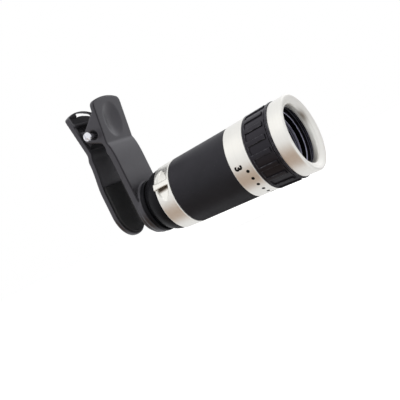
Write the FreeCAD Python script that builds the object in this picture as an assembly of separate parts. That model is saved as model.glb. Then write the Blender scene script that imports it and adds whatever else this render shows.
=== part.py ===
import FreeCAD, Part
import math
import os

# Clip-on telescope lens: a sprung clip with two arms, and a small focusing telescope
# that screws into the round end of the clip's front jaw.
# Frame: the origin is on the optical axis, on the gripping face of the front jaw pad.
# The telescope points along -Y, the thumb grips are up along +Z, and X runs along the
# hinge pin, whose domed head is on the -X side. Sizes are millimetres and degrees.
# A station is a distance in front of the origin, so it is -Y.

# Sizes that carry over to several pieces
ARM_WIDTH = 19.6
TUBE_R = 10.8
FIT = 0.05
HALF_WIDTH = ARM_WIDTH / 2.0

# Jaws and pads
JAW_OPENING = 7.5
PAD_THICK = 1.4
PAD_SINK = 0.5
PAD_MARGIN = 0.9
PAD_TOP = 15.0
PAD_RIB_DEPTH = 0.35
PAD_RIB_WIDTH = 0.8
PAD_RIBS = 3
REAR_JAW_DROP = 6.5
PAD_SEAT = PAD_THICK - PAD_SINK
REAR_SEAT_Y = JAW_OPENING + PAD_SEAT

# Hinge pin, its head, nut and ears
HINGE_Y = 1.2
HINGE_Z = 34.5
PIN_R = 1.0
PIN_FIT = 0.05
EAR_WALL = 1.7
EAR_GAP = 0.3
EAR_REACH = 4.9
EAR_RISE = 1.4
EAR_DROP = 1.2
EAR_CORNER = 0.8
REAR_EAR_R = PIN_R + 1.0
REAR_EAR_WALL = 1.6
EAR_RECESS_R = PIN_R + 0.75
EAR_RECESS_DEPTH = 1.1
HEAD_STANDOFF = 4.2
HEAD_R = PIN_R + 0.75
HEAD_THICK = 1.4
HEAD_SLOT_WIDTH = 0.5
HEAD_SLOT_DEPTH = 0.6
NUT_FLATS = 2 * PIN_R + 1.6
NUT_THICK = 1.4
EAR_INNER = HALF_WIDTH - EAR_WALL
REAR_EAR_OUTER = EAR_INNER - EAR_GAP

# Clip arms, whose heights are taken from the hinge
FRONT_WALL = 2.0
REAR_WALL = 2.0
THUMB_TOP = HINGE_Z + 11.2
THUMB_ARCH = 1.5
THUMB_CORNER = 2.4
FRONT_FACE = 3.6
FRONT_NECK = 2.5
FRONT_LEAN = 8.4
KINK_TOP = HINGE_Z - 5.1
KINK_LOW = KINK_TOP - 3.9
REAR_NECK = HINGE_Y + 7.0
REAR_LEAN = 8.6
REAR_BULGE = REAR_NECK + 0.8
REAR_TOP = HINGE_Z + 10.2
REAR_ARCH = 2.3
REAR_CORNER = 1.0
JAW_FLAT_TOP = 12.0
ARM_EDGE = 0.45

# Thumb dimple, a shallow oval dish
DIMPLE_WIDTH = 11.6
DIMPLE_HEIGHT = 14.0
DIMPLE_DEPTH = 0.9
DIMPLE_Z = HINGE_Z + 3.2

# Torsion spring on the hinge pin
WIRE_R = 0.4
COIL_R = PIN_R + 0.8
COIL_TURNS = 9
COIL_PITCH = 0.83
LEG_LENGTH = 8.0

# Lanyard slot and cross rib of the rear arm
SLOT_LEFT = -2.8
SLOT_RIGHT = HALF_WIDTH - 1.7
SLOT_HEIGHT = 1.4
SLOT_BAR = 0.5
RIM_WIDTH = 1.9
POCKET_DEPTH = 1.3
SHELF_Z = HINGE_Z + 6.2
SHELF_RISE = 0.7
SHELF_THICK = 1.0

# Telescope lengths, from the clip's boss to the front rim
BOSS_RISE = 1.0
FLANGE_LENGTH = 1.6
NECK_LENGTH = 0.8
BELL_LENGTH = 6.2
RING_LENGTH = 7.0
BARREL_LENGTH = 26.0
SCALE_LENGTH = 8.3
FOCUS_LENGTH = 10.9
BEZEL_LENGTH = 5.8
BOSS_FRONT = FRONT_FACE + BOSS_RISE
FLANGE_REAR = BOSS_FRONT + FIT
FLANGE_FRONT = FLANGE_REAR + FLANGE_LENGTH
NECK_FRONT = FLANGE_FRONT + NECK_LENGTH
HOUSING_FRONT = NECK_FRONT + BELL_LENGTH
RING_FRONT = HOUSING_FRONT + RING_LENGTH
BARREL_FRONT = RING_FRONT + BARREL_LENGTH
SCALE_FRONT = BARREL_FRONT + SCALE_LENGTH
FOCUS_FRONT = SCALE_FRONT + FOCUS_LENGTH
BEZEL_FRONT = FOCUS_FRONT + BEZEL_LENGTH

# Radii of the clip's round end and of the housing behind the ring
BOSS_R = HALF_WIDTH + 0.5
THREAD_R = 7.0
THREAD_FIT = 0.08
FLANGE_R = BOSS_R + 0.3
NECK_R = FLANGE_R - 1.0
HOUSING_REAR_R = NECK_R + 0.4

# Radii of the telescope, which are taken from its tube
RING_REAR_R = TUBE_R + 1.75
RING_R = TUBE_R + 2.2
RING_WALL_R = TUBE_R + 0.4
HOUSING_R = RING_REAR_R - 0.3
BARREL_REAR_R = TUBE_R + 2.1
BARREL_R = TUBE_R + 2.95
TUBE_FRONT_R = TUBE_R + 1.8
SCALE_REAR_R = BARREL_R + 0.1
SCALE_R = SCALE_REAR_R + 0.35
FOCUS_REAR_R = TUBE_FRONT_R + 1.35
FOCUS_R = FOCUS_REAR_R + 0.4
BEZEL_REAR_R = FOCUS_R + 0.1
BEZEL_R = BEZEL_REAR_R + 0.2
BEZEL_NOSE = 1.7
RIM_R = BEZEL_R - 1.6
RIM_OPEN_R = BEZEL_R - 2.35
APERTURE_R = BEZEL_R - 3.2
BEZEL_THROAT_R = APERTURE_R - 0.5
COLLAR_LENGTH = 2.2
COLLAR_WALL = 0.5

# Rear ring with its strap pocket and bar
RING_EDGE = 0.3
POCKET_RIM = 0.9
POCKET_FLOOR = 1.5
STRAP_ANGLE = 61.0
STRAP_WIDTH = 2.2
STRAP_THICK = 0.7
STRAP_PROUD = 0.2

# Focus ring ribs
RIB_COUNT = 18
RIB_WIDTH = 1.8
RIB_HEIGHT = 0.45
RIB_BAND = 1.1
RIB_ANGLE = 12.0
RIB_END_GAP = 0.8
RING_GAP = 0.15
LIP_LENGTH = 0.9
LIP_GROOVE = 0.5

# Body tube, which carries every piece of the telescope
TUBE_WALL = 1.0
TUBE_LAP = 3.0
TUBE_REAR = HOUSING_FRONT + 1.0
TUBE_SHOULDER = 1.4
TUBE_END_GAP = 2.4
TUBE_FRONT = FOCUS_FRONT - TUBE_END_GAP

# Focusing cell, which slides in the body tube
CELL_CLEAR = 0.05
CELL_TRAVEL = 1.6
KEY_R = 0.9
KEY_FIT = 0.02
KEY_SINK = 0.8
KEY_TOP = 0.7

# Lenses
EYE_LENS_R = TUBE_R - 5.2
EYE_LENS_THICK = 2.6
EYE_LENS_SAG = 0.7
EYE_LENS_SETBACK = 1.0
SPACER_LENGTH = 2.4
SPACER_WALL = 0.8
FIELD_LENS_THICK = 2.4
EYE_BORE_R = EYE_LENS_R + FIT
EYE_PUPIL_R = EYE_LENS_R - 1.4
EYE_RING_LENGTH = 1.2
EYE_LENS_STATION = FLANGE_REAR + EYE_LENS_SETBACK
FIELD_STATION = EYE_LENS_STATION + EYE_LENS_THICK + SPACER_LENGTH
OBJECTIVE_R = TUBE_FRONT_R - TUBE_WALL - 1.3
CROWN_THICK = 3.4
CROWN_SAG = 1.1
FLINT_THICK = 1.6
FLINT_SAG = 0.6
LENS_RING_LENGTH = 1.0
LENS_RING_OPEN_R = OBJECTIVE_R - 1.1
CELL_TAIL = 8.0
CELL_FRONT = TUBE_FRONT + 0.6
OBJECTIVE_STATION = CELL_FRONT - CROWN_THICK - FLINT_THICK - LENS_RING_LENGTH
CELL_REAR = OBJECTIVE_STATION - CELL_TAIL
KEY_STATION = OBJECTIVE_STATION + 1.1

# Erecting prisms in their cage
CAGE_R = TUBE_R - TUBE_WALL - FIT
CAGE_REAR = RING_FRONT + 1.8
CAGE_LENGTH = 20.0
CAGE_FRONT = CAGE_REAR + CAGE_LENGTH
CAGE_WALL = 1.2
PRISM_SIDE = CAGE_R - 0.15
PRISM_GAP = 0.3
PRISM_SEAT = 0.05
PLATE_THICK = 0.6
CAGE_LEDGE = 1.0

# Friction ring under the focus ring
FRICTION_R = 0.5
FRICTION_SETBACK = 0.75

FULL_TURN = 360.0
BIG = 200.0
V = FreeCAD.Vector
X_AXIS = V(1, 0, 0)
Y_AXIS = V(0, 1, 0)
Z_AXIS = V(0, 0, 1)


# Shared shapes

def at(station, radius):
    """Point of a turned outline, at a station on the optical axis and a radius from it."""
    return V(0, -station, radius)


def polygon(points):
    """Closed wire of straight edges through the points."""
    return Part.makePolygon(list(points) + [points[0]])


def turned(points):
    """Solid of revolution about the optical axis of an outline of (station, radius) pairs."""
    face = Part.Face(polygon([at(s, r) for s, r in points]))
    return face.revolve(V(0, 0, 0), Y_AXIS, FULL_TURN)


def turned_edges(edges):
    """Solid of revolution about the optical axis of a closed outline of edges."""
    face = Part.Face(Part.Wire(edges))
    return face.revolve(V(0, 0, 0), Y_AXIS, FULL_TURN)


def line(a, b):
    """Straight edge."""
    return Part.LineSegment(a, b).toShape()


def arc(a, middle, b):
    """Circular edge through three points."""
    return Part.Arc(a, middle, b).toShape()


def s_curve(a, a_way, b, b_way, pull):
    """Smooth edge from a to b that leaves along a_way and arrives along b_way."""
    curve = Part.BezierCurve()
    curve.setPoles([a, a + a_way * pull, b - b_way * pull, b])
    return curve.toShape()


def cylinder_y(radius, station_a, station_b):
    """Round bar on the optical axis between two stations."""
    return Part.makeCylinder(radius, station_b - station_a, V(0, -station_a, 0), -Y_AXIS)


def pin_bar(radius, x_a, x_b):
    """Round bar on the hinge axis between two places along it."""
    return Part.makeCylinder(radius, x_b - x_a, V(x_a, HINGE_Y, HINGE_Z), X_AXIS)


def about_axis(shape, angle):
    """Copy of a shape turned about the optical axis, from +Z towards the -X side."""
    copy = shape.copy()
    copy.rotate(V(0, 0, 0), Y_AXIS, -angle)
    return copy


def across(edges, x_a, x_b):
    """Solid swept along X from x_a to x_b of a closed outline of edges in the Y-Z plane."""
    face = Part.Face(Part.Wire(edges))
    face.translate(V(x_a, 0, 0))
    return face.extrude(V(x_b - x_a, 0, 0))


def box(x_a, x_b, y_a, y_b, z_a, z_b):
    """Box between two corners."""
    return Part.makeBox(x_b - x_a, y_b - y_a, z_b - z_a, V(x_a, y_a, z_a))


def rounded(shape, radius, chosen):
    """Shape with the edges that the test picks rounded."""
    edges = [e for e in shape.Edges if chosen(e)]
    return shape.makeFillet(radius, edges) if edges else shape


def save(name, shape):
    """Writes one node as one STEP file and prints what went into it."""
    shape.exportStep("parts/" + name + ".step")
    print(name, len(shape.Solids), round(shape.Volume, 2), shape.isValid())


# Clip

def lean_vector(angle, side):
    """Unit vector up a thumb grip that leans by the angle towards -Y or +Y."""
    return V(0, side * math.sin(math.radians(angle)), math.cos(math.radians(angle)))


def face_point(foot, way, z):
    """Point at height z on the straight face that starts at foot and runs along way."""
    return foot + way * ((z - foot.z) / way.z)


FRONT_UP = lean_vector(FRONT_LEAN, -1)
REAR_UP = lean_vector(REAR_LEAN, 1)
FRONT_OUT = V(0, -FRONT_UP.z, FRONT_UP.y)
REAR_OUT = V(0, REAR_UP.z, -REAR_UP.y)
FRONT_FOOT = V(0, -FRONT_NECK, KINK_TOP)
REAR_FOOT = V(0, REAR_NECK, KINK_TOP)


def arm_outline(top, arch, corner, bottom):
    """Solid bar along Y of an arm seen from the front: arched top, round lower end."""
    side = HALF_WIDTH
    low_left = V(-side, 0, bottom)
    low_right = V(side, 0, bottom)
    high_left = V(-side, 0, top)
    high_right = V(side, 0, top)
    edges = [
        line(low_left, high_left),
        arc(high_left, V(0, 0, top + arch), high_right),
        line(high_right, low_right),
        arc(low_right, V(0, 0, bottom - side), low_left),
    ]
    face = Part.Face(Part.Wire(edges))
    face.translate(V(0, -BIG / 2, 0))
    bar = face.extrude(V(0, BIG, 0))
    return rounded(bar, corner, lambda e: is_corner(e, top))


def is_corner(edge, height):
    """Whether an edge runs along Y at the given height."""
    ends = [vertex.Point for vertex in edge.Vertexes]
    return len(ends) == 2 and all(abs(p.z - height) < 1e-6 for p in ends) and edge.Length > 1.0


def front_plate_profile():
    """Side outline of the front arm: flat jaw, outward step and leaning thumb grip."""
    over = THUMB_TOP + BIG / 40
    low = -ARM_WIDTH
    outer_low = V(0, -FRONT_FACE, low)
    outer_kink = V(0, -FRONT_FACE, KINK_LOW)
    outer_top = face_point(FRONT_FOOT, FRONT_UP, over)
    inner_foot = FRONT_FOOT - FRONT_OUT * FRONT_WALL
    inner_top = face_point(inner_foot, FRONT_UP, over)
    inner_kink = V(0, -PAD_SEAT, KINK_LOW - FRONT_WALL)
    inner_low = V(0, -PAD_SEAT, low)
    reach = (KINK_TOP - KINK_LOW) * 0.55
    return [
        line(outer_low, outer_kink),
        s_curve(outer_kink, Z_AXIS, FRONT_FOOT, FRONT_UP, reach),
        line(FRONT_FOOT, outer_top),
        line(outer_top, inner_top),
        line(inner_top, inner_foot),
        s_curve(inner_foot, -FRONT_UP, inner_kink, -Z_AXIS, reach),
        line(inner_kink, inner_low),
        line(inner_low, outer_low),
    ]


def rear_plate_profile():
    """Side outline of the rear arm: bowed jaw that turns in to the pad, and thumb grip."""
    over = THUMB_TOP + BIG / 40
    outer_low_y = REAR_SEAT_Y + REAR_WALL
    outer_top = face_point(REAR_FOOT, REAR_UP, over)
    inner_foot = REAR_FOOT - REAR_OUT * REAR_WALL
    inner_top = face_point(inner_foot, REAR_UP, over)
    bulge = V(0, REAR_BULGE, KINK_LOW)
    inner_bulge = V(0, REAR_BULGE - REAR_WALL, KINK_LOW)
    flat_top = V(0, outer_low_y, JAW_FLAT_TOP)
    inner_flat_top = V(0, REAR_SEAT_Y, JAW_FLAT_TOP)
    low = -REAR_JAW_DROP - HALF_WIDTH
    reach = (KINK_TOP - KINK_LOW) * 0.5
    sweep = (KINK_LOW - JAW_FLAT_TOP) * 0.4
    return [
        line(V(0, outer_low_y, low), flat_top),
        s_curve(flat_top, Z_AXIS, bulge, Z_AXIS, sweep),
        s_curve(bulge, Z_AXIS, REAR_FOOT, REAR_UP, reach),
        line(REAR_FOOT, outer_top),
        line(outer_top, inner_top),
        line(inner_top, inner_foot),
        s_curve(inner_foot, -REAR_UP, inner_bulge, -Z_AXIS, reach),
        s_curve(inner_bulge, -Z_AXIS, inner_flat_top, -Z_AXIS, sweep),
        line(inner_flat_top, V(0, REAR_SEAT_Y, low)),
        line(V(0, REAR_SEAT_Y, low), V(0, outer_low_y, low)),
    ]


def is_rim(edge):
    """Whether an edge belongs to an arm's outline and not to a bend across it."""
    box_of = edge.BoundBox
    bend = box_of.XLength > ARM_WIDTH * 0.9 and box_of.ZLength < 1e-3
    across_wall = box_of.XLength < 1e-3 and box_of.ZLength < 2.0 and box_of.YLength > 1.0
    return not bend and not across_wall


def front_ear(x_a, x_b):
    """Triangular ear from the front thumb grip back past the hinge pin."""
    inside = FRONT_WALL * 0.5
    top = face_point(FRONT_FOOT, FRONT_UP, THUMB_TOP - THUMB_CORNER) - FRONT_OUT * inside
    low = FRONT_FOOT - FRONT_OUT * inside
    upper_end = V(0, HINGE_Y + EAR_REACH, HINGE_Z + EAR_RISE)
    lower_end = V(0, HINGE_Y + EAR_REACH, HINGE_Z - EAR_DROP)
    face = Part.Face(polygon([V(x_a, p.y, p.z) for p in (top, upper_end, lower_end, low)]))
    ear = face.extrude(V(x_b - x_a, 0, 0))
    return rounded(ear, EAR_CORNER, lambda e: is_far_edge(e, HINGE_Y + EAR_REACH))


def is_far_edge(edge, y):
    """Whether an edge runs along X at the given depth."""
    ends = [vertex.Point for vertex in edge.Vertexes]
    along_x = abs(ends[0].x - ends[-1].x) > 1.0
    return along_x and all(abs(p.y - y) < 1e-6 for p in ends)


def rear_ear(x_a, x_b):
    """Ear from the rear arm's floor forward to the hinge pin, round about the pin."""
    pin = V(0, HINGE_Y, HINGE_Z)
    inside = (REAR_WALL - POCKET_DEPTH) * 0.5
    spread = REAR_EAR_R * 2.0
    top = face_point(REAR_FOOT, REAR_UP, HINGE_Z + spread) - REAR_OUT * inside
    low = face_point(REAR_FOOT, REAR_UP, HINGE_Z - spread * 0.8) - REAR_OUT * inside
    edges = [
        line(top, pin + Z_AXIS * REAR_EAR_R),
        arc(pin + Z_AXIS * REAR_EAR_R, pin - Y_AXIS * REAR_EAR_R, pin - Z_AXIS * REAR_EAR_R),
        line(pin - Z_AXIS * REAR_EAR_R, low),
        line(low, top),
    ]
    return across(edges, x_a, x_b)


def dimple():
    """Oval bowl that cuts the thumb dimple into the front grip."""
    half = DIMPLE_WIDTH / 2
    ball_r = (half * half + DIMPLE_DEPTH * DIMPLE_DEPTH) / (2 * DIMPLE_DEPTH)
    ball = Part.makeSphere(ball_r)
    stretch = FreeCAD.Matrix()
    stretch.scale(1.0, 1.0, DIMPLE_HEIGHT / DIMPLE_WIDTH)
    bowl = ball.transformGeometry(stretch)
    bowl.rotate(V(0, 0, 0), X_AXIS, FRONT_LEAN)
    centre = face_point(FRONT_FOOT, FRONT_UP, DIMPLE_Z) + FRONT_OUT * (ball_r - DIMPLE_DEPTH)
    bowl.translate(centre)
    return bowl


def pad_shape(width, top, end_z, end_r):
    """Pad blank in the X-Z plane, 1 mm thick along +Y, with a round lower end."""
    half = width / 2
    edges = [
        line(V(-half, 0, end_z), V(-half, 0, top)),
        line(V(-half, 0, top), V(half, 0, top)),
        line(V(half, 0, top), V(half, 0, end_z)),
        arc(V(half, 0, end_z), V(0, 0, end_z - end_r), V(-half, 0, end_z)),
    ]
    return Part.Face(Part.Wire(edges))


def front_arm():
    """Front arm: thumb grip with its dimple, two ears, flat jaw and threaded round end."""
    plate = across(front_plate_profile(), -HALF_WIDTH, HALF_WIDTH)
    body = plate.common(arm_outline(THUMB_TOP, THUMB_ARCH, THUMB_CORNER, 0.0))
    body = rounded(body, ARM_EDGE, is_rim)
    body = body.cut(dimple())
    for x_a in (-HALF_WIDTH, EAR_INNER):
        body = body.fuse(front_ear(x_a, x_a + EAR_WALL))
    body = body.fuse(cylinder_y(BOSS_R, FRONT_FACE - FRONT_WALL / 2, BOSS_FRONT))
    body = body.cut(cylinder_y(THREAD_R + THREAD_FIT, -JAW_OPENING, BOSS_FRONT + 1.0))
    body = body.cut(pin_bar(PIN_R + PIN_FIT, -ARM_WIDTH, ARM_WIDTH))
    body = body.cut(pin_bar(EAR_RECESS_R, -HALF_WIDTH - 1.0, -HALF_WIDTH + EAR_RECESS_DEPTH))
    pocket = pad_shape(ARM_WIDTH - 2 * PAD_MARGIN, PAD_TOP, 0.0, HALF_WIDTH - PAD_MARGIN)
    pocket.translate(V(0, -PAD_THICK, 0))
    body = body.cut(pocket.extrude(V(0, PAD_THICK, 0)))
    return body.removeSplitter()


def front_jaw_pad():
    """Soft pad glued in the front jaw's pocket, a ring about the bore with grip ribs."""
    fit = FIT
    half = HALF_WIDTH - PAD_MARGIN - fit
    pad = pad_shape(2 * half, PAD_TOP - fit, 0.0, half)
    pad.translate(V(0, -PAD_THICK, 0))
    body = pad.extrude(V(0, PAD_THICK, 0))
    return cut_pad_ribs(body.cut(cylinder_y(THREAD_R + THREAD_FIT, -1.0, PAD_THICK + 1.0)), -1)


def cut_pad_ribs(body, side):
    """Pad with cross grooves near its top. side is -1 for the front pad, 1 for the rear."""
    face = 0.0 if side < 0 else JAW_OPENING
    y_a = face - PAD_RIB_DEPTH if side < 0 else face - 1.0
    y_b = face + 1.0 if side < 0 else face + PAD_RIB_DEPTH
    for index in range(PAD_RIBS):
        z = PAD_TOP - PAD_RIB_WIDTH * (1.5 + 2 * index)
        body = body.cut(box(-ARM_WIDTH, ARM_WIDTH, y_a, y_b, z, z + PAD_RIB_WIDTH))
    return body


def rear_arm():
    """Rear arm: hollow thumb grip with a lanyard slot and cross rib, ears and bowed jaw."""
    plate = across(rear_plate_profile(), -HALF_WIDTH, HALF_WIDTH)
    body = plate.common(arm_outline(REAR_TOP, REAR_ARCH, REAR_CORNER, HALF_WIDTH - REAR_JAW_DROP))
    body = rounded(body, ARM_EDGE, is_rim)
    body = body.cut(rear_pocket())
    body = body.fuse(rear_shelf())
    body = body.cut(lanyard_slot())
    for x_a in (-REAR_EAR_OUTER, REAR_EAR_OUTER - REAR_EAR_WALL):
        body = body.fuse(rear_ear(x_a, x_a + REAR_EAR_WALL))
    body = body.cut(pin_bar(PIN_R + PIN_FIT, -ARM_WIDTH, ARM_WIDTH))
    half = HALF_WIDTH - PAD_MARGIN
    pocket = pad_shape(2 * half, PAD_TOP, HALF_WIDTH - REAR_JAW_DROP, half)
    pocket.translate(V(0, JAW_OPENING, 0))
    body = body.cut(pocket.extrude(V(0, PAD_THICK, 0)))
    return body.removeSplitter()


def lanyard_slot():
    """Slot through the rear thumb grip whose upper edge follows the arched top."""
    middle = (SLOT_LEFT + SLOT_RIGHT) / 2
    upper = [V(x, 0, arch_height(x) - SLOT_BAR) for x in (SLOT_LEFT, middle, SLOT_RIGHT)]
    drop = V(0, 0, SLOT_HEIGHT)
    edges = [
        arc(upper[0], upper[1], upper[2]),
        line(upper[2], upper[2] - drop),
        arc(upper[2] - drop, upper[1] - drop, upper[0] - drop),
        line(upper[0] - drop, upper[0]),
    ]
    return Part.Face(Part.Wire(edges)).extrude(V(0, BIG / 4, 0))


def arch_height(x):
    """Height of the rear thumb grip's arched top at a place across it."""
    ball = (HALF_WIDTH * HALF_WIDTH + REAR_ARCH * REAR_ARCH) / (2 * REAR_ARCH)
    return REAR_TOP + REAR_ARCH - ball + math.sqrt(ball * ball - x * x)


def rear_pocket():
    """Pocket in the inner face of the rear thumb grip, less deep above the cross rib."""
    foot = REAR_FOOT - REAR_OUT * REAR_WALL
    low = face_point(foot, REAR_UP, KINK_TOP + 1.0)
    step = face_point(foot, REAR_UP, SHELF_Z)
    top = face_point(foot, REAR_UP, arch_height(HALF_WIDTH - RIM_WIDTH) - SLOT_BAR)
    deep = REAR_OUT * POCKET_DEPTH
    shallow = REAR_OUT * (POCKET_DEPTH - SHELF_RISE)
    out = REAR_OUT * 3.0
    corners = [low - out, low + deep, step + deep, step + shallow, top + shallow, top - out]
    edges = [line(a, b) for a, b in zip(corners, corners[1:] + corners[:1])]
    return across(edges, -HALF_WIDTH + RIM_WIDTH, HALF_WIDTH - RIM_WIDTH)


def rear_shelf():
    """Cross rib between the rims, just under the lanyard slot."""
    foot = REAR_FOOT - REAR_OUT * (REAR_WALL - POCKET_DEPTH)
    low = face_point(foot, REAR_UP, SHELF_Z)
    top = low + REAR_UP * SHELF_THICK
    inward = REAR_OUT * (POCKET_DEPTH + 0.4)
    into = REAR_OUT * 0.4
    edges = [
        line(low + into, top + into),
        line(top + into, top - inward),
        line(top - inward, low - inward),
        line(low - inward, low + into),
    ]
    return across(edges, -HALF_WIDTH + RIM_WIDTH / 2, HALF_WIDTH - RIM_WIDTH / 2)


def rear_jaw_pad():
    """Soft pad glued in the rear jaw's pocket, with the same grip ribs."""
    half = HALF_WIDTH - PAD_MARGIN - FIT
    pad = pad_shape(2 * half, PAD_TOP - FIT, HALF_WIDTH - REAR_JAW_DROP, half)
    pad.translate(V(0, JAW_OPENING, 0))
    return cut_pad_ribs(pad.extrude(V(0, PAD_THICK, 0)), 1)


def pivot_pin():
    """Steel pin through all four ears, with a domed and slotted head on the -X side."""
    head_x = -HALF_WIDTH - HEAD_STANDOFF
    body = pin_bar(PIN_R, head_x - HEAD_THICK * 0.4, HALF_WIDTH + FIT + NUT_THICK + 0.5)
    dome_r = (HEAD_R * HEAD_R + HEAD_THICK * HEAD_THICK) / (2 * HEAD_THICK)
    dome = Part.makeSphere(dome_r, V(head_x - HEAD_THICK + dome_r, HINGE_Y, HINGE_Z))
    head = pin_bar(HEAD_R, head_x - HEAD_THICK, head_x).common(dome)
    collar = pin_bar(PIN_R * 1.35, head_x, head_x + 0.6)
    body = body.fuse([head, collar])
    slot_end = head_x - HEAD_THICK + HEAD_SLOT_DEPTH
    half = HEAD_SLOT_WIDTH / 2
    slot = box(head_x - BIG / 40, slot_end, HINGE_Y - half, HINGE_Y + half,
               HINGE_Z - HEAD_R, HINGE_Z + HEAD_R)
    return body.cut(slot).removeSplitter()


def pin_nut():
    """Small hexagonal nut on the pin's +X end."""
    corner = NUT_FLATS / math.sqrt(3)
    x = HALF_WIDTH + FIT
    points = []
    for index in range(6):
        angle = math.radians(60 * index)
        points.append(V(x, HINGE_Y + corner * math.cos(angle), HINGE_Z + corner * math.sin(angle)))
    body = Part.Face(polygon(points)).extrude(V(NUT_THICK, 0, 0))
    return body.cut(pin_bar(PIN_R + FIT, x - 1.0, x + NUT_THICK + 1.0))


def torsion_spring():
    """Close-wound coil about the pin, with a straight leg up each thumb grip."""
    first = -COIL_PITCH * (COIL_TURNS - 1) / 2
    half = COIL_PITCH / 2
    valley = COIL_R + WIRE_R * 0.45
    ridge = COIL_R + WIRE_R
    outline = [(first - half, COIL_R - WIRE_R)]
    for index in range(COIL_TURNS):
        middle = first + COIL_PITCH * index
        outline += [(middle - half, valley), (middle - half * 0.45, ridge)]
        outline += [(middle + half * 0.45, ridge)]
    outline += [(-first + half, valley), (-first + half, COIL_R - WIRE_R)]
    wire = polygon([V(x, HINGE_Y, HINGE_Z + r) for x, r in outline])
    body = Part.Face(wire).revolve(V(0, HINGE_Y, HINGE_Z), X_AXIS, FULL_TURN)
    front_seat = face_point(FRONT_FOOT, FRONT_UP, HINGE_Z + LEG_LENGTH)
    front_end = front_seat - FRONT_OUT * (FRONT_WALL + WIRE_R + FIT)
    rear_seat = face_point(REAR_FOOT, REAR_UP, HINGE_Z + LEG_LENGTH * 0.5)
    rear_end = rear_seat - REAR_OUT * (REAR_WALL - POCKET_DEPTH + WIRE_R + FIT)
    pin = V(0, HINGE_Y, HINGE_Z)
    front_start = pin - Y_AXIS * COIL_R
    rear_start = pin + Y_AXIS * COIL_R
    for x, start, end in ((first, front_start, front_end), (-first, rear_start, rear_end)):
        way = end - start
        shift = V(x, 0, 0)
        body = body.fuse(Part.makeCylinder(WIRE_R, way.Length, start + shift, way))
    return body


# Telescope

def eyepiece_housing():
    """Black rear housing: thread stub, flange, groove and a bell that widens to the ring."""
    bell_mid_s = NECK_FRONT + (HOUSING_FRONT - NECK_FRONT) * 0.42
    bell_mid_r = HOUSING_REAR_R + (HOUSING_R - HOUSING_REAR_R) * 0.70
    spigot_r = RING_WALL_R - FIT
    bore_front = EYE_LENS_STATION + EYE_LENS_THICK + SPACER_LENGTH + FIELD_LENS_THICK
    edges_points = [
        (PAD_THICK, EYE_PUPIL_R + 1.4), (PAD_THICK, THREAD_R), (FLANGE_REAR, THREAD_R),
        (FLANGE_REAR, FLANGE_R - 0.3), (FLANGE_REAR + 0.3, FLANGE_R),
        (FLANGE_FRONT - 0.3, FLANGE_R), (FLANGE_FRONT, FLANGE_R - 0.3),
        (FLANGE_FRONT, NECK_R), (NECK_FRONT, NECK_R), (NECK_FRONT, HOUSING_REAR_R),
    ]
    points = [at(s, r) for s, r in edges_points]
    edges = [line(a, b) for a, b in zip(points, points[1:])]
    end = at(HOUSING_FRONT, HOUSING_R)
    edges.append(arc(points[-1], at(bell_mid_s, bell_mid_r), end))
    spigot_front = HOUSING_FRONT + TUBE_LAP
    inner = [
        (HOUSING_FRONT, spigot_r), (spigot_front, spigot_r), (spigot_front, TUBE_R + FIT),
        (TUBE_REAR - FIT, TUBE_R + FIT), (TUBE_REAR - FIT, TUBE_R - TUBE_WALL),
        (bore_front, TUBE_R - TUBE_WALL - 1.4), (bore_front, EYE_BORE_R),
        (EYE_LENS_STATION, EYE_BORE_R), (EYE_LENS_STATION, EYE_PUPIL_R),
    ]
    inner_points = [end] + [at(s, r) for s, r in inner] + [points[0]]
    edges += [line(a, b) for a, b in zip(inner_points, inner_points[1:])]
    return turned_edges(edges)


def lens(station, thick, radius, rear_sag, front_sag):
    """Glass lens whose rim starts at the station, with a bulge of each sag on its faces."""
    rear = at(station, 0) + V(0, rear_sag, 0)
    rear_rim = at(station, radius)
    front_rim = at(station + thick, radius)
    front = at(station + thick, 0) - V(0, front_sag, 0)
    edges = [cap(rear, rear_rim), line(rear_rim, front_rim), cap_back(front_rim, front)]
    edges.append(line(front, rear))
    return turned_edges(edges)


def cap(pole, rim):
    """Half of a lens face's arc, from its pole on the axis to its rim."""
    if abs(pole.y - rim.y) < 1e-6:
        return line(pole, rim)
    return arc(pole, arc_middle(pole, rim), rim)


def cap_back(rim, pole):
    """Half of a lens face's arc, from its rim to its pole on the axis."""
    if abs(pole.y - rim.y) < 1e-6:
        return line(rim, pole)
    return arc(rim, arc_middle(pole, rim), pole)


def arc_middle(pole, rim):
    """Point half-way round the arc between a lens face's pole and its rim."""
    sag = rim.y - pole.y
    ball = (rim.z * rim.z + sag * sag) / (2 * abs(sag))
    half_angle = math.asin(rim.z / ball) / 2
    drop = ball * (1 - math.cos(half_angle)) * (1 if sag > 0 else -1)
    return V(0, pole.y + drop, ball * math.sin(half_angle))


def face_rise(radius, sag, place):
    """How far a lens face has risen above its rim at a smaller radius."""
    ball = (radius * radius + sag * sag) / (2 * sag)
    return sag - (ball - math.sqrt(ball * ball - place * place))


def lens_spacer():
    """Thin tube that keeps the eye lens and field lens apart."""
    outer = EYE_BORE_R - FIT
    inner = outer - SPACER_WALL
    rise = face_rise(EYE_LENS_R, EYE_LENS_SAG, inner) + FIT
    rear = EYE_LENS_STATION + EYE_LENS_THICK + rise
    front = FIELD_STATION - rise
    return turned([(rear, inner), (rear, outer), (front, outer), (front, inner)])


def eye_lens_ring():
    """Threaded ring that holds the field lens in the eyepiece bore."""
    rear = FIELD_STATION + FIELD_LENS_THICK + FIT
    outer = EYE_BORE_R + 1.6
    inner = EYE_BORE_R - SPACER_WALL
    front = rear + EYE_RING_LENGTH
    return turned([(rear, inner), (rear, outer), (front, outer), (front, inner)])


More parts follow.
